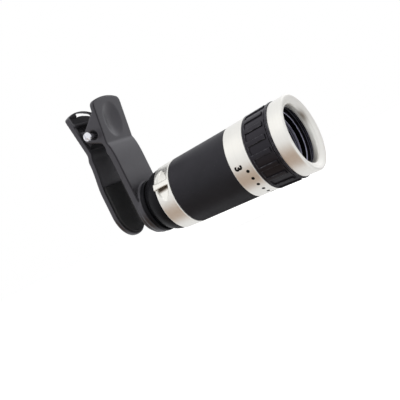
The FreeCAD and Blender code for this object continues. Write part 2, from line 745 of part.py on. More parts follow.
def strap_ring():
    """Silver rear ring with a flat-floored pocket and a moulded strap bar across it."""
    rear = HOUSING_FRONT
    front = RING_FRONT
    body = turned([
        (rear, RING_WALL_R), (rear, RING_REAR_R - RING_EDGE), (rear + RING_EDGE, RING_REAR_R),
        (front - RING_EDGE, RING_R), (front, RING_R - RING_EDGE), (front, RING_WALL_R),
    ])
    pocket_rear = -rear - POCKET_RIM
    pocket_front = -front + POCKET_RIM
    middle_r = (RING_REAR_R + RING_R) / 2
    floor_r = middle_r - POCKET_FLOOR
    pocket = box(-TUBE_R, TUBE_R, pocket_front, pocket_rear, floor_r, TUBE_R * 2)
    body = body.cut(about_axis(pocket, STRAP_ANGLE))
    top = middle_r + STRAP_PROUD
    bar = box(-STRAP_WIDTH / 2, STRAP_WIDTH / 2, pocket_front - 0.3, pocket_rear + 0.3,
              top - STRAP_THICK, top)
    bar = rounded(bar, STRAP_THICK * 0.4, lambda e: abs(e.tangentAt(e.FirstParameter).y) > 0.9)
    return body.fuse(about_axis(bar, STRAP_ANGLE)).removeSplitter()


def main_barrel():
    """Black sleeve over the body tube, which widens a little towards the front."""
    rear = RING_FRONT
    front = BARREL_FRONT
    inner = TUBE_R + FIT
    soft = 0.7
    edge = 0.2
    shoulder = at(rear + soft * 0.3, BARREL_REAR_R - soft * 0.3)
    return turned_edges([
        line(at(rear, inner), at(rear, BARREL_REAR_R - soft)),
        arc(at(rear, BARREL_REAR_R - soft), shoulder, at(rear + soft, BARREL_REAR_R)),
        line(at(rear + soft, BARREL_REAR_R), at(front - edge, BARREL_R)),
        line(at(front - edge, BARREL_R), at(front, BARREL_R - edge)),
        line(at(front, BARREL_R - edge), at(front, inner)),
        line(at(front, inner), at(rear, inner)),
    ])


def body_tube():
    """Aluminium tube inside the sleeve, stepped out at the front to guide the cell."""
    wall = TUBE_WALL
    step = BARREL_FRONT
    body = turned([
        (TUBE_REAR, TUBE_R - wall), (TUBE_REAR, TUBE_R), (step, TUBE_R),
        (step, TUBE_FRONT_R), (TUBE_FRONT, TUBE_FRONT_R), (TUBE_FRONT, TUBE_FRONT_R - wall),
        (step + TUBE_SHOULDER, TUBE_FRONT_R - wall), (step + TUBE_SHOULDER, TUBE_R - wall),
    ])
    groove_s = SCALE_FRONT + FRICTION_SETBACK
    bottom = TUBE_FRONT_R - FRICTION_R
    body = body.cut(turned([
        (groove_s - FRICTION_R, bottom), (groove_s - FRICTION_R, TUBE_FRONT_R + 1.0),
        (groove_s + FRICTION_R, TUBE_FRONT_R + 1.0), (groove_s + FRICTION_R, bottom),
    ]))
    return body.cut(key_slot())


def key_slot():
    """Straight slot through the body tube, along which the cell's key travels."""
    half = KEY_R + FIT
    reach = CELL_TRAVEL + KEY_R + FIT
    return box(-half, half, -KEY_STATION - reach, -KEY_STATION + reach,
               TUBE_FRONT_R - TUBE_WALL - 1.0, TUBE_FRONT_R + 1.0)


def scale_ring():
    """Silver ring with the distance scale, fixed to the barrel's front."""
    rear = BARREL_FRONT
    front = SCALE_FRONT
    edge = 0.3
    inner = TUBE_FRONT_R + FIT
    return turned([
        (rear, inner), (rear, SCALE_REAR_R - edge), (rear + edge, SCALE_REAR_R),
        (front - edge, SCALE_R), (front, SCALE_R - edge), (front, inner),
    ])


def focus_ring():
    """Black focus ring with raised grip ribs, plain end bands and a grooved front lip."""
    rear = SCALE_FRONT + RING_GAP
    front = FOCUS_FRONT
    inner = TUBE_FRONT_R + FIT
    lip = front - LIP_LENGTH
    groove = lip - LIP_GROOVE
    socket = front - COLLAR_LENGTH - FIT
    socket_r = inner + COLLAR_WALL + FIT
    edge = 0.25
    top_rear = FOCUS_REAR_R + RIB_HEIGHT
    top_front = FOCUS_R + RIB_HEIGHT
    body = turned([
        (rear, inner), (rear, top_rear - edge), (rear + edge, top_rear),
        (rear + RIB_BAND, top_rear), (rear + RIB_BAND, FOCUS_REAR_R),
        (groove, FOCUS_R), (groove, FOCUS_R - 0.3), (lip, FOCUS_R - 0.3),
        (lip, top_front), (front - edge, top_front), (front, top_front - edge),
        (front, socket_r), (socket, socket_r), (socket, inner),
    ])
    body = body.cut(drive_groove())
    return body.fuse(focus_ribs(rear + RIB_BAND, groove - RIB_END_GAP)).removeSplitter()


def focus_ribs(rear, front):
    """Raised ribs along the axis, evenly spaced round the focus ring."""
    half = RIB_WIDTH / 2
    sunk = 0.6
    soft = 0.2
    ribs = []
    outline = []
    for side in (1, -1):
        outline += [(side * half, -sunk), (side * half, RIB_HEIGHT - soft),
                    (side * (half - soft), RIB_HEIGHT)][::side]
    for index in range(RIB_COUNT):
        rear_wire = polygon([V(x, -rear, FOCUS_REAR_R + z) for x, z in outline])
        front_wire = polygon([V(x, -front, FOCUS_R + z) for x, z in outline])
        rib = Part.makeLoft([rear_wire, front_wire], True, True)
        ribs.append(about_axis(rib, RIB_ANGLE + index * FULL_TURN / RIB_COUNT))
    return ribs


def drive_groove():
    """Groove inside the focus ring that the cell's key follows."""
    reach = CELL_TRAVEL + KEY_R + FIT
    depth = TUBE_FRONT_R + KEY_TOP + 0.2
    return turned([
        (KEY_STATION - reach, TUBE_FRONT_R), (KEY_STATION - reach, depth),
        (KEY_STATION + reach, depth), (KEY_STATION + reach, TUBE_FRONT_R),
    ])


def front_bezel():
    """Silver bezel with a rounded nose, a narrow flat rim and a bevel down to the aperture."""
    rear = FOCUS_FRONT
    front = BEZEL_FRONT
    inner = TUBE_FRONT_R + FIT
    collar_rear = rear - COLLAR_LENGTH
    collar_r = inner + COLLAR_WALL
    nose = at(front - BEZEL_NOSE, BEZEL_R)
    nose_middle = at(front - BEZEL_NOSE * 0.36, BEZEL_R - (BEZEL_R - RIM_R) * 0.33)
    throat = front - 3.4
    corners = [
        at(front, RIM_OPEN_R), at(front - 1.7, APERTURE_R), at(front - 1.7, BEZEL_THROAT_R),
        at(throat, BEZEL_THROAT_R), at(throat, inner), at(collar_rear, inner),
        at(collar_rear, collar_r), at(rear, collar_r), at(rear, BEZEL_REAR_R), nose,
    ]
    edges = [arc(nose, nose_middle, at(front, RIM_R)), line(at(front, RIM_R), corners[0])]
    edges += [line(p, q) for p, q in zip(corners, corners[1:])]
    return turned_edges(edges)


def objective_cell():
    """Black cell that carries the objective and slides in the body tube."""
    outer = TUBE_FRONT_R - TUBE_WALL - CELL_CLEAR
    bore = OBJECTIVE_R + FIT
    ledge = OBJECTIVE_R - 1.0
    seat = OBJECTIVE_STATION
    body = turned([
        (CELL_REAR, ledge), (CELL_REAR, outer), (CELL_FRONT, outer),
        (CELL_FRONT, bore), (seat, bore), (seat, ledge),
    ])
    hole = Part.makeCylinder(KEY_R - KEY_FIT, 2.0, V(0, -KEY_STATION, outer - KEY_SINK), Z_AXIS)
    return body.cut(hole)


def key_pin():
    """Short pin that joins the cell to the focus ring's groove through the tube's slot."""
    outer = TUBE_FRONT_R - TUBE_WALL - CELL_CLEAR
    top = TUBE_FRONT_R + KEY_TOP
    foot = V(0, -KEY_STATION, outer - KEY_SINK)
    return Part.makeCylinder(KEY_R - KEY_FIT, top - foot.z, foot, Z_AXIS)


def objective_lens_ring():
    """Threaded ring that holds the objective in its cell."""
    rise = face_rise(OBJECTIVE_R, CROWN_SAG, LENS_RING_OPEN_R) + FIT
    rear = OBJECTIVE_STATION + CROWN_THICK + FLINT_THICK + rise
    front = CELL_FRONT
    outer = OBJECTIVE_R
    return turned([
        (rear, LENS_RING_OPEN_R), (rear, outer), (front, outer),
        (front, LENS_RING_OPEN_R + 0.6),
    ])


def prism_cage():
    """Cage with a square well, open to the front, for the two erecting prisms."""
    body = cylinder_y(CAGE_R, CAGE_REAR, CAGE_FRONT)
    side = PRISM_SIDE / 2 + PRISM_SEAT
    well = box(-side, side, -CAGE_FRONT - 1.0, -CAGE_REAR - CAGE_WALL, -side, side)
    light = cylinder_y(PRISM_SIDE / 2 - CAGE_LEDGE, CAGE_REAR - 1.0, CAGE_FRONT)
    return body.cut(well).cut(light)


def prism(end):
    """One of the two erecting prisms. end is 1 for the rear one and -1 for the front one."""
    half = PRISM_SIDE / 2
    rear = -CAGE_REAR - CAGE_WALL - PRISM_SEAT
    front = -CAGE_FRONT + PLATE_THICK + 2 * PRISM_SEAT
    middle = (rear + front) / 2
    flat = rear if end > 0 else front
    near = middle + end * (PRISM_GAP / 2 - half)
    far = middle + end * (PRISM_GAP / 2 + half)
    z = end * half
    points = [V(-half, flat, -z), V(-half, flat, z), V(-half, near, z), V(-half, far, -z)]
    return Part.Face(polygon(points)).extrude(V(PRISM_SIDE, 0, 0))


def prism_plate():
    """Thin square plate with a round window that closes the cage's well."""
    side = PRISM_SIDE / 2
    front = -CAGE_FRONT
    plate = box(-side, side, front, front + PLATE_THICK, -side, side)
    return plate.cut(cylinder_y(side - CAGE_LEDGE, CAGE_FRONT - 1.0, CAGE_FRONT + 1.0))


def friction_ring():
    """Greased rubber ring in the body tube's groove, under the focus ring."""
    station = SCALE_FRONT + FRICTION_SETBACK
    half = FRICTION_R - FIT
    bottom = TUBE_FRONT_R - FRICTION_R + FIT
    top = TUBE_FRONT_R
    return turned([
        (station - half, bottom), (station - half, top), (station + half, top),
        (station + half, bottom),
    ])


def main():
    """Builds every node and writes its STEP file."""
    os.makedirs("parts", exist_ok=True)
    save("front_arm", front_arm())
    save("front_jaw_pad", front_jaw_pad())
    save("rear_arm", rear_arm())
    save("rear_jaw_pad", rear_jaw_pad())
    save("pivot_pin", pivot_pin())
    save("pin_nut", pin_nut())
    save("torsion_spring", torsion_spring())
    save("eyepiece_housing", eyepiece_housing())
    eye = lens(EYE_LENS_STATION, EYE_LENS_THICK, EYE_LENS_R, 0.0, EYE_LENS_SAG)
    save("eye_lens", eye)
    save("lens_spacer", lens_spacer())
    field = lens(FIELD_STATION, FIELD_LENS_THICK, EYE_LENS_R, EYE_LENS_SAG, 0.0)
    save("field_lens", field)
    save("eye_lens_ring", eye_lens_ring())
    save("strap_ring", strap_ring())
    save("main_barrel", main_barrel())
    save("body_tube", body_tube())
    save("prism_cage", prism_cage())
    save("rear_prism", prism(1))
    save("front_prism", prism(-1))
    save("prism_plate", prism_plate())
    save("scale_ring", scale_ring())
    save("focus_ring", focus_ring())
    save("front_bezel", front_bezel())
    save("friction_ring", friction_ring())
    save("objective_cell", objective_cell())
    save("key_pin", key_pin())
    flint = lens(OBJECTIVE_STATION, FLINT_THICK, OBJECTIVE_R, -FLINT_SAG, -CROWN_SAG)
    save("flint_lens", flint)
    crown = lens(OBJECTIVE_STATION + FLINT_THICK, CROWN_THICK, OBJECTIVE_R, CROWN_SAG, CROWN_SAG)
    save("crown_lens", crown)
    save("objective_lens_ring", objective_lens_ring())


if __name__ == "__main__":
    main()
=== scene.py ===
"""Looks of a clip-on telescope lens: its finishes, turned rings, ribs, spring, pads, marks, light and camera.

Lengths in the classes are millimetres, as in the part's source, and meshes are made in metres. A station is a
distance in front of the jaw's face along the optical axis, so it is -Y. Colours are linear.
"""

import logging
import math
from dataclasses import dataclass
from enum import Enum
from typing import Callable, Sequence

import bmesh
import bpy
from bmesh.types import BMesh, BMVert
from bpy.types import Material, Mesh, Node, NodeTree
from bpy.types import NodeSocket as Socket
from bpy.types import Object as Piece
from mathutils import Matrix, Vector


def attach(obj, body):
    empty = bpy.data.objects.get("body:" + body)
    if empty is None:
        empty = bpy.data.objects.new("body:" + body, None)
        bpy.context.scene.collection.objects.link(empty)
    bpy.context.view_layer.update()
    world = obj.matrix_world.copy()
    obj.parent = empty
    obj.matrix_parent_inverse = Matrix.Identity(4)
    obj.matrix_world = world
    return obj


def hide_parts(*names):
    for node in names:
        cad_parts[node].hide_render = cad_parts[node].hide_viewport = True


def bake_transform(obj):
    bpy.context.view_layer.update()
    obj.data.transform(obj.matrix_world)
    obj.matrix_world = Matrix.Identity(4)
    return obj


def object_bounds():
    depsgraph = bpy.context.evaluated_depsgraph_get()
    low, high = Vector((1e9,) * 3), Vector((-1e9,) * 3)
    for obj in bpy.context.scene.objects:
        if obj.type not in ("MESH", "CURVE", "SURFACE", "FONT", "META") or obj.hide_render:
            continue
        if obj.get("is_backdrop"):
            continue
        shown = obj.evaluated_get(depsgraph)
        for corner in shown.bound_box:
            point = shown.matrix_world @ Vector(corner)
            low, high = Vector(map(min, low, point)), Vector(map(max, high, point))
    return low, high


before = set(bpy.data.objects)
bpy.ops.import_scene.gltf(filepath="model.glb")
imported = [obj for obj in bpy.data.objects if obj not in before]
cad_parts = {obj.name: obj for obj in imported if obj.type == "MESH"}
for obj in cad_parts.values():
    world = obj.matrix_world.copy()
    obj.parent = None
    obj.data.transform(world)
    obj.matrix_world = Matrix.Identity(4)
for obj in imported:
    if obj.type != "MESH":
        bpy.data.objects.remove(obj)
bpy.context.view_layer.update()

LOG = logging.getLogger("telescope_lens")
MM = 0.001

Triple = tuple[float, float, float]
Colour = Triple
Outline = Sequence[Triple]
Loops = Sequence[Sequence[BMVert]]

WHITE: Colour = (1.0, 1.0, 1.0)
BLACK: Colour = (0.0, 0.0, 0.0)
DUST: Colour = (0.3, 0.29, 0.27)


class Slot(str, Enum):
    """Material slots of the record that pieces take their finish from."""

    CLIP = "clip_plastic"
    PAD = "pad_rubber"
    PIN = "pin_steel"
    SPRING = "spring_steel"
    HOUSING = "housing_black"
    BARREL = "barrel_black"
    SILVER = "ring_silver"
    TUBE = "tube_metal"
    GRIP = "grip_black"
    CELL = "cell_black"
    LENS = "lens_glass"
    PRISM = "prism_glass"
    SEAL = "seal_rubber"


class Body(str, Enum):
    """Bodies of the moving model."""

    FRONT_ARM = "front_arm"
    REAR_ARM = "rear_arm"
    TELESCOPE = "telescope"
    FOCUS = "focus_ring"
    CELL = "objective_cell"


# Node trees


class Graph:
    """Places and links nodes in one node tree."""

    def __init__(self, tree: NodeTree) -> None:
        """Keeps the tree and starts its layout."""
        self.tree = tree
        self.column = 0

    def node(self, kind: str, values: dict | None = None, **settings: object) -> Node:
        """Adds a node.

        Args:
            kind: the node's type name.
            values: its inputs, as feed takes them.
            settings: attributes of the node, which are set first.

        Returns:
            The new node.
        """
        made = self.tree.nodes.new(kind)
        made.location = (self.column * 190.0, 0.0)
        self.column += 1
        for name, value in settings.items():
            setattr(made, name, value)
        self.feed(made, values or {})
        return made

    def feed(self, node: Node, values: dict) -> None:
        """Sets or links inputs of a node.

        Args:
            node: the node.
            values: input name or index to a plain value, a colour or a socket to link.
        """
        for name, value in values.items():
            socket = node.inputs[name]
            if isinstance(value, Socket):
                self.tree.links.new(value, socket)
            else:
                socket.default_value = (*value, 1.0) if socket.type == "RGBA" else value

    def maths(self, operation: str, *terms: object, clamp: bool = False) -> Socket:
        """Result of a Math node on numbers or sockets, kept between 0 and 1 if clamped."""
        values = dict(enumerate(terms))
        return self.node("ShaderNodeMath", values, operation=operation, use_clamp=clamp).outputs[0]

    def plus(self, first: object, second: object) -> Socket:
        """Sum of two numbers or sockets."""
        return self.maths("ADD", first, second)

    def minus(self, first: object, second: object) -> Socket:
        """Difference of two numbers or sockets."""
        return self.maths("SUBTRACT", first, second)

    def times(self, first: object, second: object) -> Socket:
        """Product of two numbers or sockets."""
        return self.maths("MULTIPLY", first, second)

    def ramp(self, value: Socket, low: float, high: float) -> Socket:
        """Smooth step of a value from 0 at low to 1 at high."""
        return self.node("ShaderNodeMapRange", {"Value": value, "From Min": low, "From Max": high},
                         interpolation_type="SMOOTHSTEP").outputs["Result"]

    def mix(self, factor: object, low: object, high: object) -> Socket:
        """Colour that goes from low at factor 0 to high at factor 1."""
        return self.node("ShaderNodeMix", {0: factor, 6: low, 7: high}, data_type="RGBA").outputs[2]

    def mark(self, name: str) -> Socket:
        """Value of a mesh attribute."""
        return self.node("ShaderNodeAttribute", attribute_name=name, attribute_type="GEOMETRY").outputs["Fac"]

    def noise(self, place: Socket, scale: object, detail: float, roughness: float = 0.5,
              distortion: float = 0.0) -> Socket:
        """Noise from 0 to 1.

        Args:
            place: the coordinates.
            scale: its scale, as a number or socket.
            detail: its octaves.
            roughness: strength of the finer octaves.
            distortion: how far it is bent.

        Returns:
            The noise's socket.
        """
        values = {"Vector": place, "Scale": scale, "Detail": detail, "Roughness": roughness,
                  "Distortion": distortion}
        return self.node("ShaderNodeTexNoise", values).outputs["Fac"]

    def group(self, tree: NodeTree, place: Socket, number: float) -> bpy.types.bpy_prop_collection:
        """Outputs of a shared group that is placed here.

        Args:
            tree: the group.
            place: its Position.
            number: its one number.

        Returns:
            The outputs, by name.
        """
        return self.node("ShaderNodeGroup", {0: place, 1: number}, node_tree=tree).outputs

    def bump(self, shader: Node, height: Socket, strength: float, depth: float) -> None:
        """Feeds a height into a shader's normal.

        Args:
            shader: the shader's node.
            height: the height's socket.
            strength: the bump's strength.
            depth: its depth in metres.
        """
        node = self.node("ShaderNodeBump", {"Height": height, "Strength": strength, "Distance": depth})
        self.feed(shader, {"Normal": node.outputs[0]})


def new_group(name: str, number: tuple[str, float],
              outputs: Sequence[str]) -> tuple[Graph, Node, Node]:
    """Starts a shader group that takes a Position and one number.

    Args:
        name: the group's name.
        number: name and default of its number.
        outputs: names of the values that it puts out.

    Returns:
        The group's Graph, its input node and its output node.
    """
    tree = bpy.data.node_groups.new(name, "ShaderNodeTree")
    tree.interface.new_socket("Position", in_out="INPUT", socket_type="NodeSocketVector")
    socket = tree.interface.new_socket(number[0], in_out="INPUT", socket_type="NodeSocketFloat")
    socket.default_value = number[1]
    for label in outputs:
        tree.interface.new_socket(label, in_out="OUTPUT", socket_type="NodeSocketFloat")
    graph = Graph(tree)
    return graph, graph.node("NodeGroupInput"), graph.node("NodeGroupOutput")


class Effects:
    """Shader groups that several finishes share."""

    def __init__(self) -> None:
        """Builds each group once."""
        self.grain = self.build_grain()
        self.turning = self.build_turning()
        self.handling = self.build_handling()

    @staticmethod
    def build_grain() -> NodeTree:
        """Spark-eroded mould grain with a faint slow mottle."""
        g, start, end = new_group("mould_grain", ("Size", 5000.0), ("Height", "Mottle"))
        place, size = start.outputs["Position"], start.outputs["Size"]
        pits = g.node("ShaderNodeTexVoronoi", {"Vector": place, "Scale": g.times(size, 0.6)},
                      feature="SMOOTH_F1").outputs["Distance"]
        g.feed(end, {"Height": g.plus(g.noise(place, size, 3.0, roughness=0.6), g.times(pits, 0.5)),
                     "Mottle": g.noise(place, g.times(size, 0.03), 2.0)})
        return g.tree

    @staticmethod
    def build_turning() -> NodeTree:
        """Fine circular tool lines of a turned ring about the optical axis."""
        g, start, end = new_group("turning_lines", ("Lines", 9000.0), ("Height", "Streak"))
        lines = start.outputs["Lines"]
        x, y, z = g.node("ShaderNodeSeparateXYZ", {"Vector": start.outputs["Position"]}).outputs
        along = g.plus(y, g.maths("SQRT", g.plus(g.times(x, x), g.times(z, z))))
        place = g.node("ShaderNodeCombineXYZ", {"X": g.times(x, 0.02), "Y": along,
                                                "Z": g.times(z, 0.02)}).outputs[0]
        g.feed(end, {"Height": g.noise(place, lines, 2.0, roughness=0.7),
                     "Streak": g.noise(place, g.times(lines, 0.12), 1.0)})
        return g.tree

    @staticmethod
    def build_handling() -> NodeTree:
        """Rubbed corners from the attribute corner, whole where Reach is past 1, with dust and smudges; the
        cell's whole corners are a painted highlight.
        """
        g, start, end = new_group("handling_marks", ("Reach", 0.5), ("RubAndHighlight", "Dust", "Smudge"))
        place, reach = start.outputs["Position"], start.outputs["Reach"]
        patchy = g.ramp(g.noise(place, 900.0, 4.0), 0.42, 0.66)
        whole = g.maths("SUBTRACT", reach, 1.0, clamp=True)
        cover = g.maths("ADD", g.times(patchy, reach), whole, clamp=True)
        specks = g.node("ShaderNodeTexVoronoi", {"Vector": place, "Scale": 1100.0}).outputs["Distance"]
        sparse = g.ramp(g.noise(place, 160.0, 2.0), 0.5, 0.7)
        g.feed(end, {"RubAndHighlight": g.times(g.mark("corner"), cover),
                     "Dust": g.times(g.maths("LESS_THAN", specks, 0.07), sparse),
                     "Smudge": g.ramp(g.noise(place, 95.0, 3.0, distortion=0.6), 0.4, 0.75)})
        return g.tree


EFFECTS = Effects()


# Finishes


def scaled(colour: Colour, share: float) -> Colour:
    """Colour made darker or lighter, up to white."""
    return tuple(min(1.0, c * share) for c in colour)


@dataclass(frozen=True)
class Finish:
    """A finish of the object, which makes one material.

    Attributes:
        slot: the record's material slot that it belongs to.
        colour: its base colour.
        roughness: its roughness away from marks.
    """

    slot: Slot
    colour: Colour
    roughness: float

    def start(self, suffix: str = "") -> tuple[Material, Graph, Node, Socket]:
        """Starts the material.

        Args:
            suffix: added to the slot's name where the slot has several materials.

        Returns:
            The material, its Graph, its Principled node and the Object coordinates.
        """
        material = bpy.data.materials.new(f"{self.slot.value}_finish{suffix}")
        material.use_nodes = True
        material.node_tree.nodes.clear()
        g = Graph(material.node_tree)
        place = g.node("ShaderNodeTexCoord").outputs["Object"]
        shader = g.node("ShaderNodeBsdfPrincipled", {"Roughness": self.roughness, "Base Color": self.colour})
        g.node("ShaderNodeOutputMaterial", {"Surface": shader.outputs[0]})
        return material, g, shader, place


@dataclass(frozen=True)
class MouldedPlastic(Finish):
    """Matt or glossy moulded plastic with grain, dust, smudges, rubbed corners and painted shade in corners
    and recesses.

    Attributes:
        grain: strength of the mould grain.
        grain_size: how fine the grain is, per metre.
        wear_and_highlight: colour of rubbed corners, and on the cell the colour of a painted highlight.
        rub: how far corners are rubbed; past 1 they are covered whole, as the cell's painted highlight is.
        shine: strength of its reflection.
        sheen: colour of its reflection.
        dull: how much rougher it is in hollows.
    """

    grain: float = 0.3
    grain_size: float = 5200.0
    wear_and_highlight: Colour = (0.1, 0.1, 0.1)
    rub: float = 0.5
    shine: float = 0.5
    sheen: Colour = (0.96, 0.93, 1.0)
    dull: float = 0.6

    def build(self) -> Material:
        """Makes the material."""
        material, g, shader, place = self.start()
        grain = g.group(EFFECTS.grain, place, self.grain_size)
        marks = g.group(EFFECTS.handling, place, self.rub)
        body = g.mix(grain["Mottle"], scaled(self.colour, 0.86), scaled(self.colour, 1.14))
        dusty = g.mix(g.times(marks["Dust"], 0.5), body, DUST)
        # Painted shade: the base colour goes towards black where ambient occlusion finds corners and
        # recesses, and where the mesh's painted-shade attribute is high. Those places are also rougher.
        around = g.node("ShaderNodeAmbientOcclusion", {"Distance": 0.012}, samples=6).outputs["AO"]
        free = g.times(g.ramp(around, 0.2, 0.85), g.minus(1.0, g.mark("painted_shade")))
        shaded = g.mix(free, g.mix(0.75, dusty, BLACK), dusty)
        hidden = g.times(g.minus(1.0, free), self.dull)
        rough = g.plus(g.times(marks["Smudge"], 0.07), g.plus(hidden, self.roughness))
        g.feed(shader, {"Base Color": g.mix(marks["RubAndHighlight"], shaded, self.wear_and_highlight),
                        "Roughness": g.minus(rough, g.times(marks["RubAndHighlight"], 0.12)),
                        "Specular IOR Level": self.shine, "Specular Tint": self.sheen})
        g.bump(shader, grain["Height"], self.grain, 0.00002)
        return material


@dataclass(frozen=True)
class TurnedMetal(Finish):
    """Turned and anodised metal with circular tool lines, smudges, bright corners and painted shade.

    Attributes:
        lines: tool lines per metre.
        depth: strength of the lines.
        metal: how metallic it looks under its matt top.
        bright: colour of the corners.
        painted_shade: colour of the painted shade and painted reflection in the strap pocket and the bezel's
            mouth.
    """

    lines: float = 9000.0
    depth: float = 0.12
    metal: float = 0.85
    bright: Colour = (0.95, 0.94, 0.92)
    painted_shade: Colour = (0.1, 0.06, 0.03)

    def build(self) -> Material:
        """Makes the material."""
        material, g, shader, place = self.start()
        turning = g.group(EFFECTS.turning, place, self.lines)
        marks = g.group(EFFECTS.handling, place, 0.35)
        body = g.mix(turning["Streak"], scaled(self.colour, 0.97), scaled(self.colour, 1.03))
        rubbed = g.mix(marks["RubAndHighlight"], body, self.bright)
        rough = g.plus(g.times(turning["Height"], 0.08), g.times(marks["Smudge"], 0.05))
        # Painted shade: the base colour goes towards the dark brown painted-shade colour where the mesh's
        # painted-shade attribute is high.
        g.feed(shader, {"Metallic": self.metal, "Roughness": g.plus(rough, self.roughness),
                        "Base Color": g.mix(g.mark("painted_shade"), rubbed, self.painted_shade)})
        g.bump(shader, turning["Height"], self.depth, 0.00001)
        return material


@dataclass(frozen=True)
class BareSteel(Finish):
    """Bare steel of small hardware, with fine scratches."""

    scratch: float = 0.15

    def build(self) -> Material:
        """Makes the material."""
        material, g, shader, place = self.start()
        stretch = g.node("ShaderNodeMapping", {"Vector": place, "Scale": (900.0, 7000.0, 7000.0)})
        lines = g.noise(stretch.outputs[0], 1.0, 3.0)
        marks = g.group(EFFECTS.handling, place, 0.5)
        g.feed(shader, {"Metallic": 1.0, "Base Color": g.mix(lines, self.colour, scaled(self.colour, 0.8)),
                        "Roughness": g.plus(g.times(marks["Smudge"], 0.12), self.roughness)})
        g.bump(shader, lines, self.scratch, 0.00001)
        return material


@dataclass(frozen=True)
class CoatedGlass(Finish):
    """Optical glass with a faint coloured bloom in slow patches.

    Attributes:
        bloom: colour of the coating's tint.
        index: index of its coated surface, low because the coating hardly reflects.
        film: share of light that a thin film of dust scatters.
    """

    bloom: Colour = (0.7, 0.8, 0.9)
    index: float = 1.09
    film: float = 0.05

    def build(self) -> Material:
        """Makes the material."""
        material, g, shader, place = self.start()
        wiped = g.ramp(g.noise(place, 240.0, 4.0), 0.55, 0.8)
        g.feed(shader, {"Transmission Weight": 1.0 - self.film, "IOR": self.index,
                        "Base Color": g.mix(g.noise(place, 60.0, 2.0), self.colour, self.bloom),
                        "Roughness": g.times(wiped, 0.01)})
        return material


@dataclass(frozen=True)
class PrintedInk(Finish):
    """Filled ink of the scale's numerals and dots."""

    def build(self) -> Material:
        """Makes the material."""
        material, g, shader, place = self.start("_ink")
        grain = g.group(EFFECTS.grain, place, 9000.0)
        g.feed(shader, {"Base Color": g.mix(grain["Mottle"], self.colour, scaled(self.colour, 1.6)),
                        "Specular IOR Level": 0.08})
        g.bump(shader, grain["Height"], 0.2, 0.00001)
        return material


class Paint:
    """All finishes of the object, built once and given to pieces by slot."""

    def __init__(self) -> None:
        """Builds every material."""
        finishes: list[Finish] = [
            MouldedPlastic(Slot.CLIP, (0.013, 0.0125, 0.0145), 0.33, wear_and_highlight=(0.07, 0.07, 0.075), shine=0.8),
            MouldedPlastic(Slot.PAD, (0.018, 0.018, 0.018), 0.75, grain=0.5, grain_size=8000.0,
                           wear_and_highlight=(0.05, 0.05, 0.05), rub=0.3, shine=0.35),
            BareSteel(Slot.PIN, (0.9, 0.9, 0.93), 0.2),
            BareSteel(Slot.SPRING, (0.52, 0.51, 0.5), 0.28),
            MouldedPlastic(Slot.HOUSING, (0.006, 0.006, 0.007), 0.34, grain=0.12, wear_and_highlight=(0.05, 0.05, 0.05),
                           shine=0.08),
            MouldedPlastic(Slot.BARREL, (0.02, 0.0195, 0.0225), 0.42, grain=0.25, grain_size=7000.0,
                           wear_and_highlight=(0.09, 0.09, 0.09), rub=0.4, shine=0.11),
            TurnedMetal(Slot.SILVER, (0.82, 0.805, 0.76), 0.33, depth=0.05, metal=0.92),
            TurnedMetal(Slot.TUBE, (0.06, 0.06, 0.065), 0.45, bright=(0.3, 0.3, 0.3)),
            MouldedPlastic(Slot.GRIP, (0.011, 0.01, 0.013), 0.28, grain=0.08, grain_size=6000.0,
                           wear_and_highlight=(0.1, 0.1, 0.11), rub=1.0, shine=0.24),
            # Painted highlight: the cell's whole corners, on the lens ring's bevels and the lining's edges,
            # are pale lavender.
            MouldedPlastic(Slot.CELL, (0.0055, 0.005, 0.009), 0.3, grain=0.1, wear_and_highlight=(0.6, 0.6, 0.78), rub=2.0,
                           shine=0.16),
            CoatedGlass(Slot.LENS, (0.8, 0.8, 1.0), 0.0, bloom=(0.62, 0.62, 0.95), film=0.07),
            CoatedGlass(Slot.PRISM, (0.97, 0.98, 0.97), 0.0, bloom=(0.93, 0.97, 0.95)),
            MouldedPlastic(Slot.SEAL, (0.02, 0.02, 0.02), 0.6, shine=0.4),
        ]
        self.by_slot = {finish.slot: finish.build() for finish in finishes}
        self.ink = PrintedInk(Slot.SILVER, (0.006, 0.0055, 0.005), 0.6).build()

    def dress_nodes(self) -> None:
        """Gives every CAD node that stays the finish of its slot."""
        for name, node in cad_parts.items():
            for place in node.material_slots:
                place.material = self.by_slot[Slot(place.material.name.split(".")[0])]
            LOG.info("finish given to node %s", name)

    def carry(self, piece: Piece, slot: Slot, body: Body, *nodes: str, inked: bool = False) -> None:
        """Dresses a piece, hides the nodes that it stands for and puts it on its body.

        Args:
            piece: the piece.
            slot: its slot.
            body: the body that it rides on.
            nodes: CAD nodes that it stands for.
            inked: whether it has the scale's ink in place of the slot's finish.
        """
        piece.data.materials.clear()
        piece.data.materials.append(self.ink if inked else self.by_slot[slot])
        if nodes:
            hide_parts(*nodes)
        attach(piece, body.value)
        LOG.info("%s made", piece.name)


# Shapes


def smooth(value: float) -> float:
    """Smooth step from 0 to 1."""
    t = max(0.0, min(1.0, value))
    return t * t * (3.0 - 2.0 * t)


def cubic(points: Sequence[float], share: float) -> float:
    """Value of a Bezier curve with four points."""
    a, b, c, d = points
    rest = 1.0 - share
    return a * rest ** 3 + 3 * b * rest * rest * share + 3 * c * rest * share * share + d * share ** 3


def add_piece(name: str, mesh: Mesh) -> Piece:
    """Puts a mesh in the scene as an object at the origin."""
    mesh.name = name
    piece = bpy.data.objects.new(name, mesh)
    bpy.context.scene.collection.objects.link(piece)
    return piece


def applied(piece: Piece) -> Mesh:
    """Plain mesh of an object with its modifiers applied. The object itself is removed."""
    graph = bpy.context.evaluated_depsgraph_get()
    mesh = bpy.data.meshes.new_from_object(piece.evaluated_get(graph), depsgraph=graph)
    bpy.data.objects.remove(piece, do_unlink=True)
    return mesh


